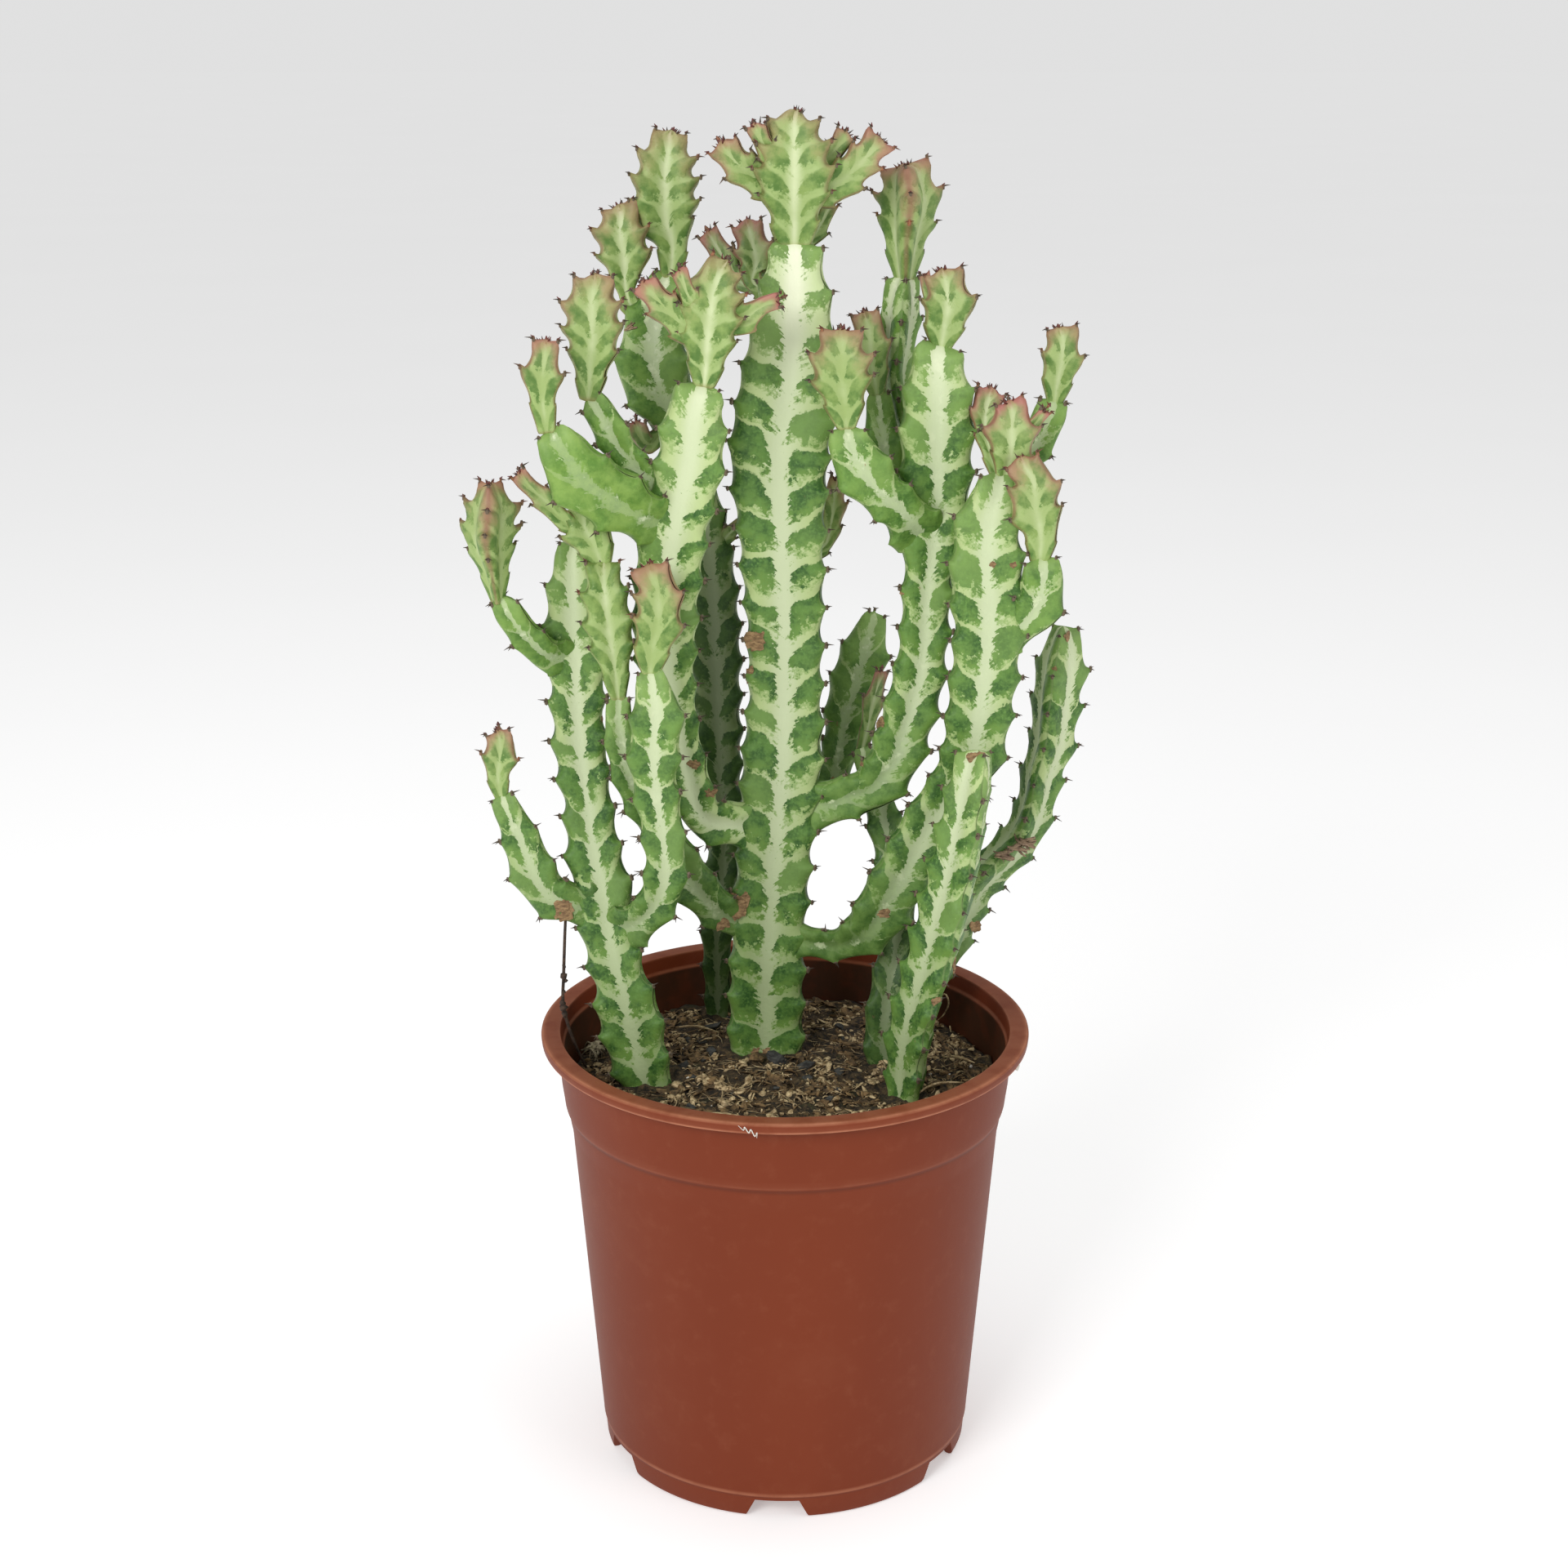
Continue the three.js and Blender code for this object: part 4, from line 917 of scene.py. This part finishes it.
# Corky scars: place in millimetres, the way it faces, half its width and its height to width.
SCARS = {
    "stem_centre": [(-10, 9.7, 292.3, -0.1, -1, 2.7, 1.25), (-12, 11.5, 279.5, -0.6, -0.8, 1.8, 1.3),
                    (-16.1, 13.2, 196.3, -0.1, -1, 3.4, 1.5), (-21.5, 12, 189.3, 0.4, -0.9, 2.4, 1),
                    (-30.9, 3.4, 250.4, -0.2, -1, 1.8, 1), (-25.7, 4, 239.7, -0.1, -1, 2, 0.8),
                    (34, -0.9, 198.2, -0.2, -1, 2.4, 0.8), (32.6, 11.2, 261.2, -0.8, -0.6, 2, 1.2),
                    (26.6, 10.2, 248.1, -0.9, -0.4, 1.5, 1), (39.4, 8.7, 308.6, -0.7, -0.7, 1.1, 1),
                    (67.8, -11.9, 322.5, -0.2, -1, 1, 1), (74.4, -13.2, 322.8, 0, -1, 1.1, 1),
                    (-6.8, 17.6, 138.5, -0.1, -1, 2.2, 0.6), (-10.6, 16.8, 139, 0.2, -1, 1.5, 0.7),
                    (18, 41, 232, 0.5, 0.9, 2.0, 1), (-4, 30, 330, -0.2, 1, 1.6, 1.4),
                    (4, 29, 262, 0.3, 1, 1.8, 1)],
    "stem_left": [(-75.5, -9.3, 203, 0.2, -1, 2.9, 1.4), (-61.8, 2, 266.6, 1, -0.1, 1.1, 1)],
    "stem_front_right": [(62.8, -26.8, 261.5, 0, -1, 2.4, 0.8), (50.9, -27.5, 176.6, 0.3, -0.9, 1.8, 0.9),
                         (56.8, -25.5, 189, 0.8, -0.6, 1.3, 2.4)],
    "stem_back_right": [(67.3, 16.7, 187.2, 0.5, -0.8, 1.9, 1.3), (91.6, 12.9, 280.6, -0.4, -0.9, 1, 1),
                        (96.3, 18.1, 290.5, 0.8, -0.5, 2.2, 1)],
}
# Shrivelled flowers left on the stems: place in millimetres, spread and petal length.
DRIED_FLOWERS = {
    "stem_back_right": [(76.5, 12, 214.8, 1.4, 8), (80.5, 11.5, 217, 1.8, 8.5), (84.5, 13.5, 218.8, 1.4, 7)],
    "stem_back_left": [(-52.3, 42.6, 393, 0.8, 4)],
}


def scar_plants():
    """Flat, rough-edged plates of cork on the skin."""
    for node, places in SCARS.items():
        bm = bmesh.new()
        for number, (x, y, z, face_x, face_y, size, tall) in enumerate(places):
            base = turned(Vector((x, y, z)) * MM, Vector((face_x, face_y, 0.1)), Vector((0, 0, 1)))
            unlike = Vector((number * 7, 0, 0))
            for v in bmesh.ops.create_icosphere(bm, subdivisions=3, radius=1)["verts"]:
                rough = 1 + 0.8 * noise.noise(v.co * 1.5 + unlike) + 0.35 * noise.noise(v.co * 5)
                v.co = base @ (Vector((v.co.x * tall, v.co.y, v.co.z * 0.16)) * rough * size * MM)
        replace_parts(finish_object(node + "_scars", bm, "scar_cork", smooth=False), node)


def hang_dried_flowers():
    for node, places in DRIED_FLOWERS.items():
        draw = random.Random(node)
        bm = bmesh.new()
        for x, y, z, spread, size in places:
            for _ in range(7):
                spot = Vector((x + draw.uniform(-spread, spread), y, z + draw.uniform(-spread, spread))) * MM
                turn = Matrix.Rotation(draw.uniform(-0.9, 0.9), 4, "Y")
                turn = turn @ Matrix.Rotation(draw.uniform(0.4, 2.6), 4, "X")
                add_husk(bm, Matrix.Translation(spot) @ turn, size * draw.uniform(0.6, 1.1) * MM,
                         draw.uniform(0.16, 0.3), draw.uniform(0.6, 2.4), draw)
        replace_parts(finish_object(node + "_dried_flowers", bm, "flower_dry"), node)


def plant_groups(node, axes):
    """The axes of one plant, split so that no piece grows too large."""
    if node != "stem_centre":
        return {node: axes}
    groups = {node: [], node + "_left": [], node + "_right": []}
    for axis in axes:
        right, left = axis.name.startswith(CENTRE_RIGHT), axis.name.startswith(CENTRE_LEFT)
        groups[node + "_right" if right else node + "_left" if left else node].append(axis)
    return groups


def grow_plants():
    for node, axes in AXES.items():
        shades = SHADE[node]
        for name, members in plant_groups(node, axes).items():
            old = [axis for axis in members if not axis.young]
            young = [axis for axis in members if axis.young]
            pieces = [skin_object(name + "_skin", old, shades, "stem_skin"),
                      spines_object(name + "_spines", members)]
            if young:
                pieces.append(skin_object(name + "_buds", young, shades, "young_growth"))
                pieces.append(leaflets_object(name + "_leaflets", young))
            for piece in pieces:
                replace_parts(piece, node)


# ---------------------------------------------------------------- pot


def spun(bm, outline, turns, inside_from=0):
    """Spins an outline round Z into a closed shell.

    A point of it is (radius, height) in millimetres, and its painted light: -1 for painted shadow in a
    crease, 1 for a painted highlight on an edge.
    """
    inside = bm.verts.layers.float.new("inside")
    wear = bm.verts.layers.float.new("wear")
    verts = []
    for number, (radius, height, *mark) in enumerate(outline):
        v = bm.verts.new((radius * MM, 0, height * MM))
        v[wear] = mark[0] if mark else 0.0
        v[inside] = float(number >= inside_from)
        verts.append(v)
    edges = [bm.edges.new(pair) for pair in zip(verts, verts[1:])]
    bmesh.ops.spin(bm, geom=verts + edges, cent=(0, 0, 0), axis=(0, 0, 1), angle=math.tau,
                   steps=turns, use_merge=True, use_duplicate=False)
    bmesh.ops.remove_doubles(bm, verts=bm.verts, dist=1e-6)
    bmesh.ops.recalc_face_normals(bm, faces=bm.faces)


POT_OUTLINE = [
    (0, 6.5), (4, 6.5), (58, 6.5), (60.5, 5.5), (62, 0.5), (62.4, 0), (63.6, 0), (64.6, 0.5), (65.1, 1.6),
    (65.6, 7.6), (65.75, 8.3, -0.4), (66.05, 8.8, 0.4), (66.15, 9.3, 0.5), (66.2, 10.4), (74.75, 119.6),
    (75.0, 121.6), (75.5, 124), (76.0, 127.2), (76.15, 128.0, -0.35), (76.3, 128.6, -0.75),
    (76.65, 129.2, -0.5), (77.0, 129.8, 0.15), (77.25, 130.8, 0.05), (77.5, 133), (78.2, 138), (79.1, 149.4),
    (79.3, 151.2, -0.5), (79.7, 152.2, -0.9), (80.6, 152.7, -0.6), (83.4, 152.8), (84.2, 152.9, 0.7),
    (84.65, 153.3, 0.9), (84.8, 154.0, 0.1), (84.95, 155.6, 0.05), (84.85, 156.1, 0.5), (84.4, 156.45, 0.9),
    (83.8, 156.6, 0.5), (83.0, 156.6, 0.3), (79.4, 156.6, 0.3), (78.5, 156.4, 0.4), (78.1, 155.8),
    (77.9, 151.8), (77.6, 151.2, 0.3), (77.2, 150.8, 0.4), (76.9, 150.0), (75.8, 131), (75.2, 128.6),
    (74.9, 127.6), (73.7, 121.6), (64.4, 9.6), (63.4, 8.5), (0, 8.5),
]
# The small ledge inside the rim, below which the inner wall is darkened with painted shade.
POT_LEDGE = (76.9, 150.0)


def cut_away(piece, tool):
    """Takes the tool's shape out of the piece and removes the tool."""
    step = piece.modifiers.new("cut", "BOOLEAN")
    step.operation = "DIFFERENCE"
    step.solver = "EXACT"
    step.object = tool
    depsgraph = bpy.context.evaluated_depsgraph_get()
    mesh = bpy.data.meshes.new_from_object(piece.evaluated_get(depsgraph))
    piece.modifiers.clear()
    piece.data = mesh
    bpy.data.objects.remove(tool)


def foot_cutter():
    """Six tapered notches in the foot ring and six drain holes in the base."""
    bm = bmesh.new()
    for i in range(NOTCHES):
        turn = Matrix.Rotation(math.radians(NOTCH_TURN + i * 360 / NOTCHES), 4, "Z")
        notch = bmesh.ops.create_cube(bm, size=1)["verts"]
        for v in notch:
            wide = NOTCH_FOOT if v.co.z < 0 else NOTCH_TOP
            v.co = turn @ (Vector((v.co.x * wide, v.co.y * 18 - FOOT_RADIUS, v.co.z * 7.8 + 3.2)) * MM)
        half = Matrix.Rotation(math.radians(NOTCH_TURN + (i + 0.5) * 360 / NOTCHES), 4, "Z")
        drain = half @ Matrix.Translation(Vector((0, -DRAIN_CIRCLE, 7)) * MM)
        bmesh.ops.create_cone(bm, cap_ends=True, segments=32, radius1=DRAIN_RADIUS * MM,
                              radius2=DRAIN_RADIUS * MM, depth=20 * MM, matrix=drain)
    return put_in_scene("foot_cutter", mesh_of("foot_cutter", bm))


def make_pot():
    bm = bmesh.new()
    spun(bm, POT_OUTLINE, POT_TURNS, inside_from=POT_OUTLINE.index(POT_LEDGE))
    pot = finish_object("pot_shell", bm, "pot_plastic")
    cut_away(pot, foot_cutter())
    pot.data.set_sharp_from_angle(angle=math.radians(32))
    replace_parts(pot, "pot")


# ---------------------------------------------------------------- soil and what lies on it


def ground(x, y):
    """Height of the soil's broad shape at a place, all in millimetres."""
    mound = SOIL_MOUND * (1 - (math.hypot(x, y) / MOUND_RADIUS) ** 2)
    lumps = math.sin(x * 0.31 + 1) * math.cos(y * 0.27) + 0.6 * math.sin(x * 0.13 - y * 0.21 + 2)
    return SOIL_TOP + mound + 0.5 * lumps


def crumbs(x, y):
    """How far the soil's crumbs stand out from its broad shape."""
    place = Vector((x, y, 0))
    return 1.7 * noise.fractal(place * 0.15, 1.0, 2.1, 4) + 0.6 * noise.noise(place * 0.8)


def make_soil():
    """The bed of soil: a closed shell inside the pot, with a crumbly top."""
    inner = [(SOIL_RADIUS * (1 - k / SOIL_RINGS), SOIL_TOP) for k in range(SOIL_RINGS + 1)]
    outline = [(0, 8.9), (62.2, 8.9), (73, 121.4), (74.5, 128)] + inner
    bm = bmesh.new()
    spun(bm, outline, 150)
    for v in bm.verts:
        if v.co.z > (SOIL_TOP - 0.5) * MM:
            x, y = v.co.x / MM, v.co.y / MM
            v.co.z = (ground(x, y) + crumbs(x, y)) * MM
    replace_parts(finish_object("soil_bed", bm, "soil"), "soil")


def free_spot(draw, margin=3.0):
    """A random place on the soil that no stem stands on."""
    feet = [axes[0].points[1] for axes in AXES.values()]
    while True:
        radius, angle = LITTER_RADIUS * math.sqrt(draw.random()), draw.uniform(0, math.tau)
        x, y = radius * math.cos(angle), radius * math.sin(angle)
        if all(math.hypot(x - fx, y - fy) > foot + margin for fx, fy, _, foot in feet):
            return x, y


def clumped_spot(draw, patch):
    """A free place that is likelier in some patches of the soil than in others."""
    spots = [free_spot(draw) for _ in range(3)]
    return max(spots, key=lambda spot: noise.noise(Vector((spot[0] * 0.1, spot[1] * 0.1, patch))))


def resting(x, y, lift, draw, tilt=0.5):
    """A matrix on the soil at a place, turned at random about Z and tipped a little."""
    height = (ground(x, y) + crumbs(x, y) + lift) * MM
    spin = Matrix.Rotation(draw.uniform(0, math.tau), 4, "Z")
    nod = Matrix.Rotation(draw.uniform(-tilt, tilt), 4, "X")
    lean = Matrix.Rotation(draw.uniform(-tilt, tilt), 4, "Y")
    return Matrix.Translation((x * MM, y * MM, height)) @ spin @ nod @ lean


def scatter_chips(name, look, count, low, high, flat, seed):
    """Angular crumbs of bark: knocked-about balls of few faces."""
    draw = random.Random(seed)
    bm = bmesh.new()
    for _ in range(count):
        x, y = free_spot(draw)
        add_chip(bm, x, y, draw.uniform(low, high), flat, draw)
    return finish_object(name, bm, look, smooth=False)


def add_chip(bm, x, y, size, flat, draw):
    """One angular crumb, as tall for its width as the flat range allows."""
    shape = Matrix.Diagonal((1, draw.uniform(0.45, 0.9), draw.uniform(*flat), 1))
    made = bmesh.ops.create_icosphere(bm, subdivisions=1, radius=size * MM,
                                      matrix=resting(x, y, 0.2 + 0.2 * size, draw) @ shape)["verts"]
    knock(made, 0.22, size, draw)


def add_husk(bm, base, length, wide, curl, draw):
    """A thin curled husk, drawn as a small bent strip with two sides."""
    bit = bmesh.new()
    twist = draw.uniform(-0.6, 0.6)
    strip = bmesh.ops.create_grid(bit, x_segments=5, y_segments=2, size=0.5)["verts"]
    for v in strip:
        aside = v.co.y * length * wide * (1 - 2.4 * v.co.x ** 2)
        bend = curl * v.co.x
        lift = -0.5 * length * (1 - math.cos(bend)) + twist * aside * v.co.x - 260 * aside * aside
        rough = Vector(draw.uniform(-0.05, 0.05) * length * wide for _ in range(3))
        v.co = base @ (Vector((length * math.sin(bend) / curl, aside, lift)) + rough)
    bmesh.ops.solidify(bit, geom=bit.faces[:], thickness=0.2 * MM)
    gather(bm, bit)


def gather(bm, bit):
    """Adds a small finished shape to a larger one."""
    mesh = mesh_of("bit", bit)
    bm.from_mesh(mesh)
    bpy.data.meshes.remove(mesh)


def scatter_husks(name, look, count, low, high, wide, seed):
    draw = random.Random(seed)
    bm = bmesh.new()
    for _ in range(count):
        x, y = clumped_spot(draw, seed)
        base = resting(x, y, draw.uniform(0.3, 1.1), draw, 0.8)
        length = low + (high - low) * draw.random() ** 1.8
        add_husk(bm, base, length * MM, draw.uniform(*wide), draw.uniform(0.3, 3.2), draw)
    return finish_object(name, bm, look)


def husk_clusters(name, look, seed):
    """Knots of pale husks, each a handful curled together in one place."""
    draw = random.Random(seed)
    bm = bmesh.new()
    for x, y in HUSK_CLUSTERS:
        for _ in range(10):
            spot = x + draw.gauss(0, 1.5), y + draw.gauss(0, 1.5)
            base = resting(*spot, draw.uniform(0.6, 2.2), draw, 1.3)
            add_husk(bm, base, draw.uniform(2.2, 4.6) * MM, draw.uniform(0.2, 0.6),
                     draw.uniform(0.8, 3.4), draw)
    return finish_object(name, bm, look)


def add_strand(bm, points, radius, sides=4, taper=0.4):
    """A thin closed strand through the points, drawn by extruding a small ring along them."""
    bit = bmesh.new()
    last = len(points) - 1
    ring = None
    for i, point in enumerate(points):
        ahead = (points[min(last, i + 1)] - points[max(0, i - 1)]).normalized()
        across = Vector((0.3, 0.9, 0.2)) if abs(ahead.y) < 0.8 else Vector((0.9, 0.2, 0.3))
        size = radius * (1 - (1 - taper) * abs(2 * i / last - 1) ** 2)
        frame_here = turned(point, ahead, across)
        spots = [frame_here @ Vector((size * math.cos(k * math.tau / sides),
                                      size * math.sin(k * math.tau / sides), 0)) for k in range(sides)]
        if ring is None:
            verts = [bit.verts.new(spot) for spot in spots]
            ring = [bit.edges.new((verts[k], verts[(k + 1) % sides])) for k in range(sides)]
            bmesh.ops.contextual_create(bit, geom=ring)
        else:
            made = bmesh.ops.extrude_edge_only(bit, edges=ring)["geom"]
            ring = [item for item in made if isinstance(item, bmesh.types.BMEdge)]
            for v, spot in zip((item for item in made if isinstance(item, bmesh.types.BMVert)), spots):
                v.co = spot
    bmesh.ops.contextual_create(bit, geom=ring)
    bmesh.ops.recalc_face_normals(bit, faces=bit.faces)
    gather(bm, bit)


def scatter_fibres(name, look, count, low, high, thick, seed):
    draw = random.Random(seed)
    bm = bmesh.new()
    for _ in range(count):
        x, y = free_spot(draw)
        length, bow = draw.uniform(low, high), draw.uniform(-0.5, 0.5)
        base = resting(x, y, 0.5, draw, 0.25)
        points = []
        for k in range(5):
            t = k / 4 - 0.5
            points.append(base @ (Vector((t * length, bow * length * (0.25 - t * t) * 2,
                                          abs(bow) * 2.2 * (0.25 - t * t))) * MM))
        if max(math.hypot(p.x, p.y) for p in points) < (WALL_AT_SOIL - 0.3) * MM:
            add_strand(bm, points, thick * MM * draw.uniform(0.6, 1.3), sides=4)
    bmesh.ops.recalc_face_normals(bm, faces=bm.faces)
    return finish_object(name, bm, look)


# Single pieces that catch the eye, in millimetres: place on the soil, then size.
DARK_CHIPS = [(-3, 7.3, 5), (7, 3, 3.6), (19, -1, 3), (-27, 16, 3), (-26, 40, 3.8), (-58, 11, 3),
              (-36, 4, 2.4), (22, 30, 2.4)]
WHITE_GRAINS = [(-13, -27.5, 1.1), (-26, -10, 0.7), (66, 8, 0.7), (-9, -30, 0.6), (-34, -4, 0.7)]
HUSK_CLUSTERS = [(-24.5, -12), (12, -12), (-22, -25.5), (-18, -17), (-29, -10), (49, -14), (64, 11), (62, 30),
                 (54, 43), (-4, -40), (20, -34), (-38, -26), (34, 2), (-50, -30), (5, -22), (-8, -50)]


def placed_chips(name, look, places, flat, seed):
    """Chips at given places on the soil."""
    draw = random.Random(seed)
    bm = bmesh.new()
    for x, y, size in places:
        add_chip(bm, x, y, size, flat, draw)
    return finish_object(name, bm, look, smooth=False)


def dried_flower():
    """The shrivelled flower head that lies by the left plant: long petals curled round one another."""
    draw = random.Random(29)
    bm = bmesh.new()
    for i in range(16):
        base = Matrix.Translation(Vector((-68 + draw.uniform(-2, 2), 17 + draw.uniform(-3, 3), 141)) * MM)
        base = base @ Matrix.Rotation(i * 0.6, 4, "Z") @ Matrix.Rotation(draw.uniform(-1.3, 1.3), 4, "X")
        add_husk(bm, base, draw.uniform(7, 11) * MM, draw.uniform(0.07, 0.15), draw.uniform(1.8, 3.6), draw)
    return finish_object("dried_flower", bm, "petal_dry")


# Loose straws, each as points in millimetres: one looped by the wall, the others flat on the soil.
STRAWS = [
    [(51.6, 46.4, 139), (55, 44.7, 145), (58.5, 43, 150), (60, 41.5, 147), (58.5, 43, 142), (56, 44, 139)],
    [(44, -24, 139), (50, -19, 141), (56, -14, 140), (62, -12, 139)],
    [(56, 8, 140), (61, 6, 141), (67, 3, 140)],
    [(-40, 38, 139), (-32, 34, 141), (-24, 33, 139)],
    [(-30, -36, 138), (-20, -40, 140), (-8, -42, 138)],
]


def smoothed(points, steps=4):
    """A smooth curve through points that are given in millimetres."""
    curve = [Vector(point) * MM for point in points]
    return [spline_point(curve, i / steps) for i in range((len(curve) - 1) * steps + 1)]


def loose_straws():
    bm = bmesh.new()
    for number, points in enumerate(STRAWS):
        add_strand(bm, smoothed(points), (0.5 if number else 0.35) * MM, sides=5)
    bmesh.ops.recalc_face_normals(bm, faces=bm.faces)
    return finish_object("loose_straws", bm, "husk_tan")


RIM_HAIR = [(-14.9, -83.6, 155.8), (-13.2, -84, 154.4), (-12.9, -84, 155.5), (-11.5, -84.3, 153.6),
            (-10.9, -84.3, 154.8), (-9.6, -84.3, 152.4), (-8.9, -84.2, 153.8), (-9, -84.2, 151.8)]


def rim_litter():
    """A hair that clings to the front of the rim and a torn flake on its edge."""
    draw = random.Random(41)
    bm = bmesh.new()
    add_strand(bm, smoothed(RIM_HAIR), 0.2 * MM, sides=5)
    shape = turned(Vector((78.7, -29.4, 153.2)) * MM, Vector((0.94, -0.35, 0)), Vector((0, 0, 1)))
    shape = shape @ Matrix.Diagonal((1, 0.5, 0.25, 1))
    flake = bmesh.ops.create_icosphere(bm, subdivisions=2, radius=2.4 * MM, matrix=shape)["verts"]
    knock(flake, 0.3, 1, draw)
    return finish_object("rim_litter", bm, "perlite", slot="dry_matter")


def keep_inside_wall(piece):
    """Pushes back whatever would reach through the pot's wall."""
    limit = WALL_AT_SOIL * MM
    for v in piece.data.vertices:
        reach = math.hypot(v.co.x, v.co.y)
        if reach > limit:
            v.co.x *= limit / reach
            v.co.y *= limit / reach


def litter_soil():
    """Each line: name, look, how many, smallest and largest size, then proportions and the draw's seed."""
    pieces = [
        scatter_chips("bark_crumbs", "bark_brown", 300, 0.5, 1.5, (0.3, 0.8), 3),
        scatter_chips("bark_chunks", "bark_brown", 44, 1.8, 3.6, (0.2, 0.45), 23),
        scatter_chips("dark_chips", "bark_black", 34, 1.2, 2.6, (0.25, 0.5), 5),
        placed_chips("large_dark_chips", "bark_black", DARK_CHIPS, (0.3, 0.5), 6),
        husk_clusters("pale_clusters", "husk_tan", 8),
        scatter_chips("tan_crumbs", "husk_tan", 160, 0.4, 1.1, (0.3, 0.8), 7),
        scatter_husks("curled_husks", "husk_tan", 1500, 1.6, 6.0, (0.14, 0.5), 9),
        scatter_husks("brown_husks", "bark_brown", 1200, 2.2, 7.5, (0.2, 0.55), 19),
        scatter_fibres("tan_fibres", "husk_tan", 620, 2.5, 9, 0.13, 11),
        scatter_fibres("brown_fibres", "bark_brown", 380, 4, 12, 0.2, 13),
        scatter_chips("perlite_grains", "perlite", 20, 0.3, 0.7, (0.6, 0.95), 17),
        placed_chips("large_grains", "perlite", WHITE_GRAINS, (0.7, 0.95), 18),
        dried_flower(),
        loose_straws(),
    ]
    for piece in pieces:
        keep_inside_wall(piece)
        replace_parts(piece, "soil")
    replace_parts(rim_litter(), "pot")


# ---------------------------------------------------------------- dry root


DRY_ROOT = [(-74.5, -4, 204), (-75, -6, 200), (-75.3, -8.5, 194), (-75.6, -10, 187), (-76, -11, 178),
            (-76.3, -12, 169), (-74.8, -10, 159), (-72.6, -5, 149), (-70, 1, 139)]
ROOT_KNOTS = [(-75.8, -11, 182, 0.7), (-76, -11.5, 178.5, 1.1), (-75, -12, 177, 0.8), (-76, -12, 173, 0.8),
              (-76.4, -12.2, 169, 1.2), (-76.2, -12, 167, 1.4), (-75.9, -11.8, 164.5, 1.1)]


def make_dry_root():
    draw = random.Random(31)
    bm = bmesh.new()
    add_strand(bm, smoothed(DRY_ROOT, steps=5), 0.6 * MM, sides=8, taper=0.7)
    for x, y, z, size in ROOT_KNOTS:
        spot = Matrix.Translation(Vector((x, y, z)) * MM)
        knot = bmesh.ops.create_icosphere(bm, subdivisions=1, radius=size * MM, matrix=spot)["verts"]
        knock(knot, 0.35, size, draw)
    bmesh.ops.recalc_face_normals(bm, faces=bm.faces)
    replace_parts(finish_object("dry_root", bm, "root_dark"), "stem_left")


# ---------------------------------------------------------------- stage


def area_light(name, place, target, size, power, tint=(1, 1, 1)):
    data = bpy.data.lights.new(name, "AREA")
    data.shape, data.size, data.energy, data.color = "SQUARE", size, power, tint
    light = put_in_scene(name, data)
    light.location = place
    light.rotation_euler = (Vector(target) - Vector(place)).to_track_quat("-Z", "Y").to_euler()


def make_stage():
    bm = bmesh.new()
    bmesh.ops.create_circle(bm, cap_ends=True, segments=64, radius=30)
    mesh = mesh_of("floor", bm)
    material, graph = new_material("floor_paper")
    graph.coat(graph.mix(graph.noise(3, 2), (0.9, 0.9, 0.9), (0.93, 0.93, 0.93)), 0.95, shine=0.0)
    shader = material.node_tree.nodes["Principled BSDF"].inputs
    shader["Emission Color"].default_value = (1, 1, 1, 1)
    shader["Emission Strength"].default_value = 0.35
    mesh.materials.append(material)
    floor = put_in_scene("floor", mesh)
    world = bpy.data.worlds.new("studio")
    world.use_nodes = True
    graph = Graph(world.node_tree)
    seen = graph.add("ShaderNodeLightPath", {})["Is Camera Ray"]
    background = world.node_tree.nodes["Background"].inputs
    graph.plug(background["Color"], graph.mix(seen, (0.44, 0.44, 0.44), (0.75, 0.75, 0.75)))
    background["Strength"].default_value = 1
    bpy.context.scene.world = world
    area_light("key", (-0.8, -1.4, 1.1), (0, 0, 0.25), 0.8, 17)
    area_light("fill", (1.3, -0.9, 0.8), (0, 0, 0.22), 0.9, 5)
    area_light("top", (0.1, 0.1, 1.7), (0, 0, 0.2), 0.9, 5)
    bpy.context.scene.view_settings.view_transform = "Standard"


def make_camera():
    """Stands where the photographer stood, a little above the plant's top."""
    data = bpy.data.cameras.new("camera")
    data.sensor_width = 36
    data.lens = 57.99
    data.shift_x = -0.00065
    data.clip_end = 20
    camera = put_in_scene("camera", data)
    camera.location = (0, -0.820, 0.4963)
    camera.rotation_euler = (math.radians(90 - 17.11), 0, 0)
    bpy.context.scene.camera = camera


make_marbling()
make_grime()
MATERIALS = {
    "stem_skin": stem_skin(),
    "young_growth": young_growth(),
    "spine": spine_wood(),
    "young_leaflet": leaflet_red(),
    "soil": soil_earth(),
    "husk_tan": dry_bark("husk_tan", srgb(124, 99, 64), srgb(232, 208, 162), 420),
    "bark_brown": dry_bark("bark_brown", srgb(48, 36, 22), srgb(146, 117, 77), 300),
    "root_dark": dry_bark("root_dark", srgb(34, 26, 22), srgb(88, 68, 54), 300),
    "bark_black": dry_bark("bark_black", srgb(32, 31, 29), srgb(82, 82, 78), 420),
    "petal_dry": dry_bark("petal_dry", srgb(120, 108, 84), srgb(196, 184, 154), 300),
    "flower_dry": dry_bark("flower_dry", srgb(100, 78, 62), srgb(190, 162, 132), 300),
    "scar_cork": dry_bark("scar_cork", srgb(104, 78, 52), srgb(176, 144, 102), 420),
    "perlite": perlite_grain(),
    "pot_plastic": pot_plastic(),
}
make_pot()
make_soil()
litter_soil()
grow_plants()
scar_plants()
hang_dried_flowers()
make_dry_root()
make_stage()
make_camera()
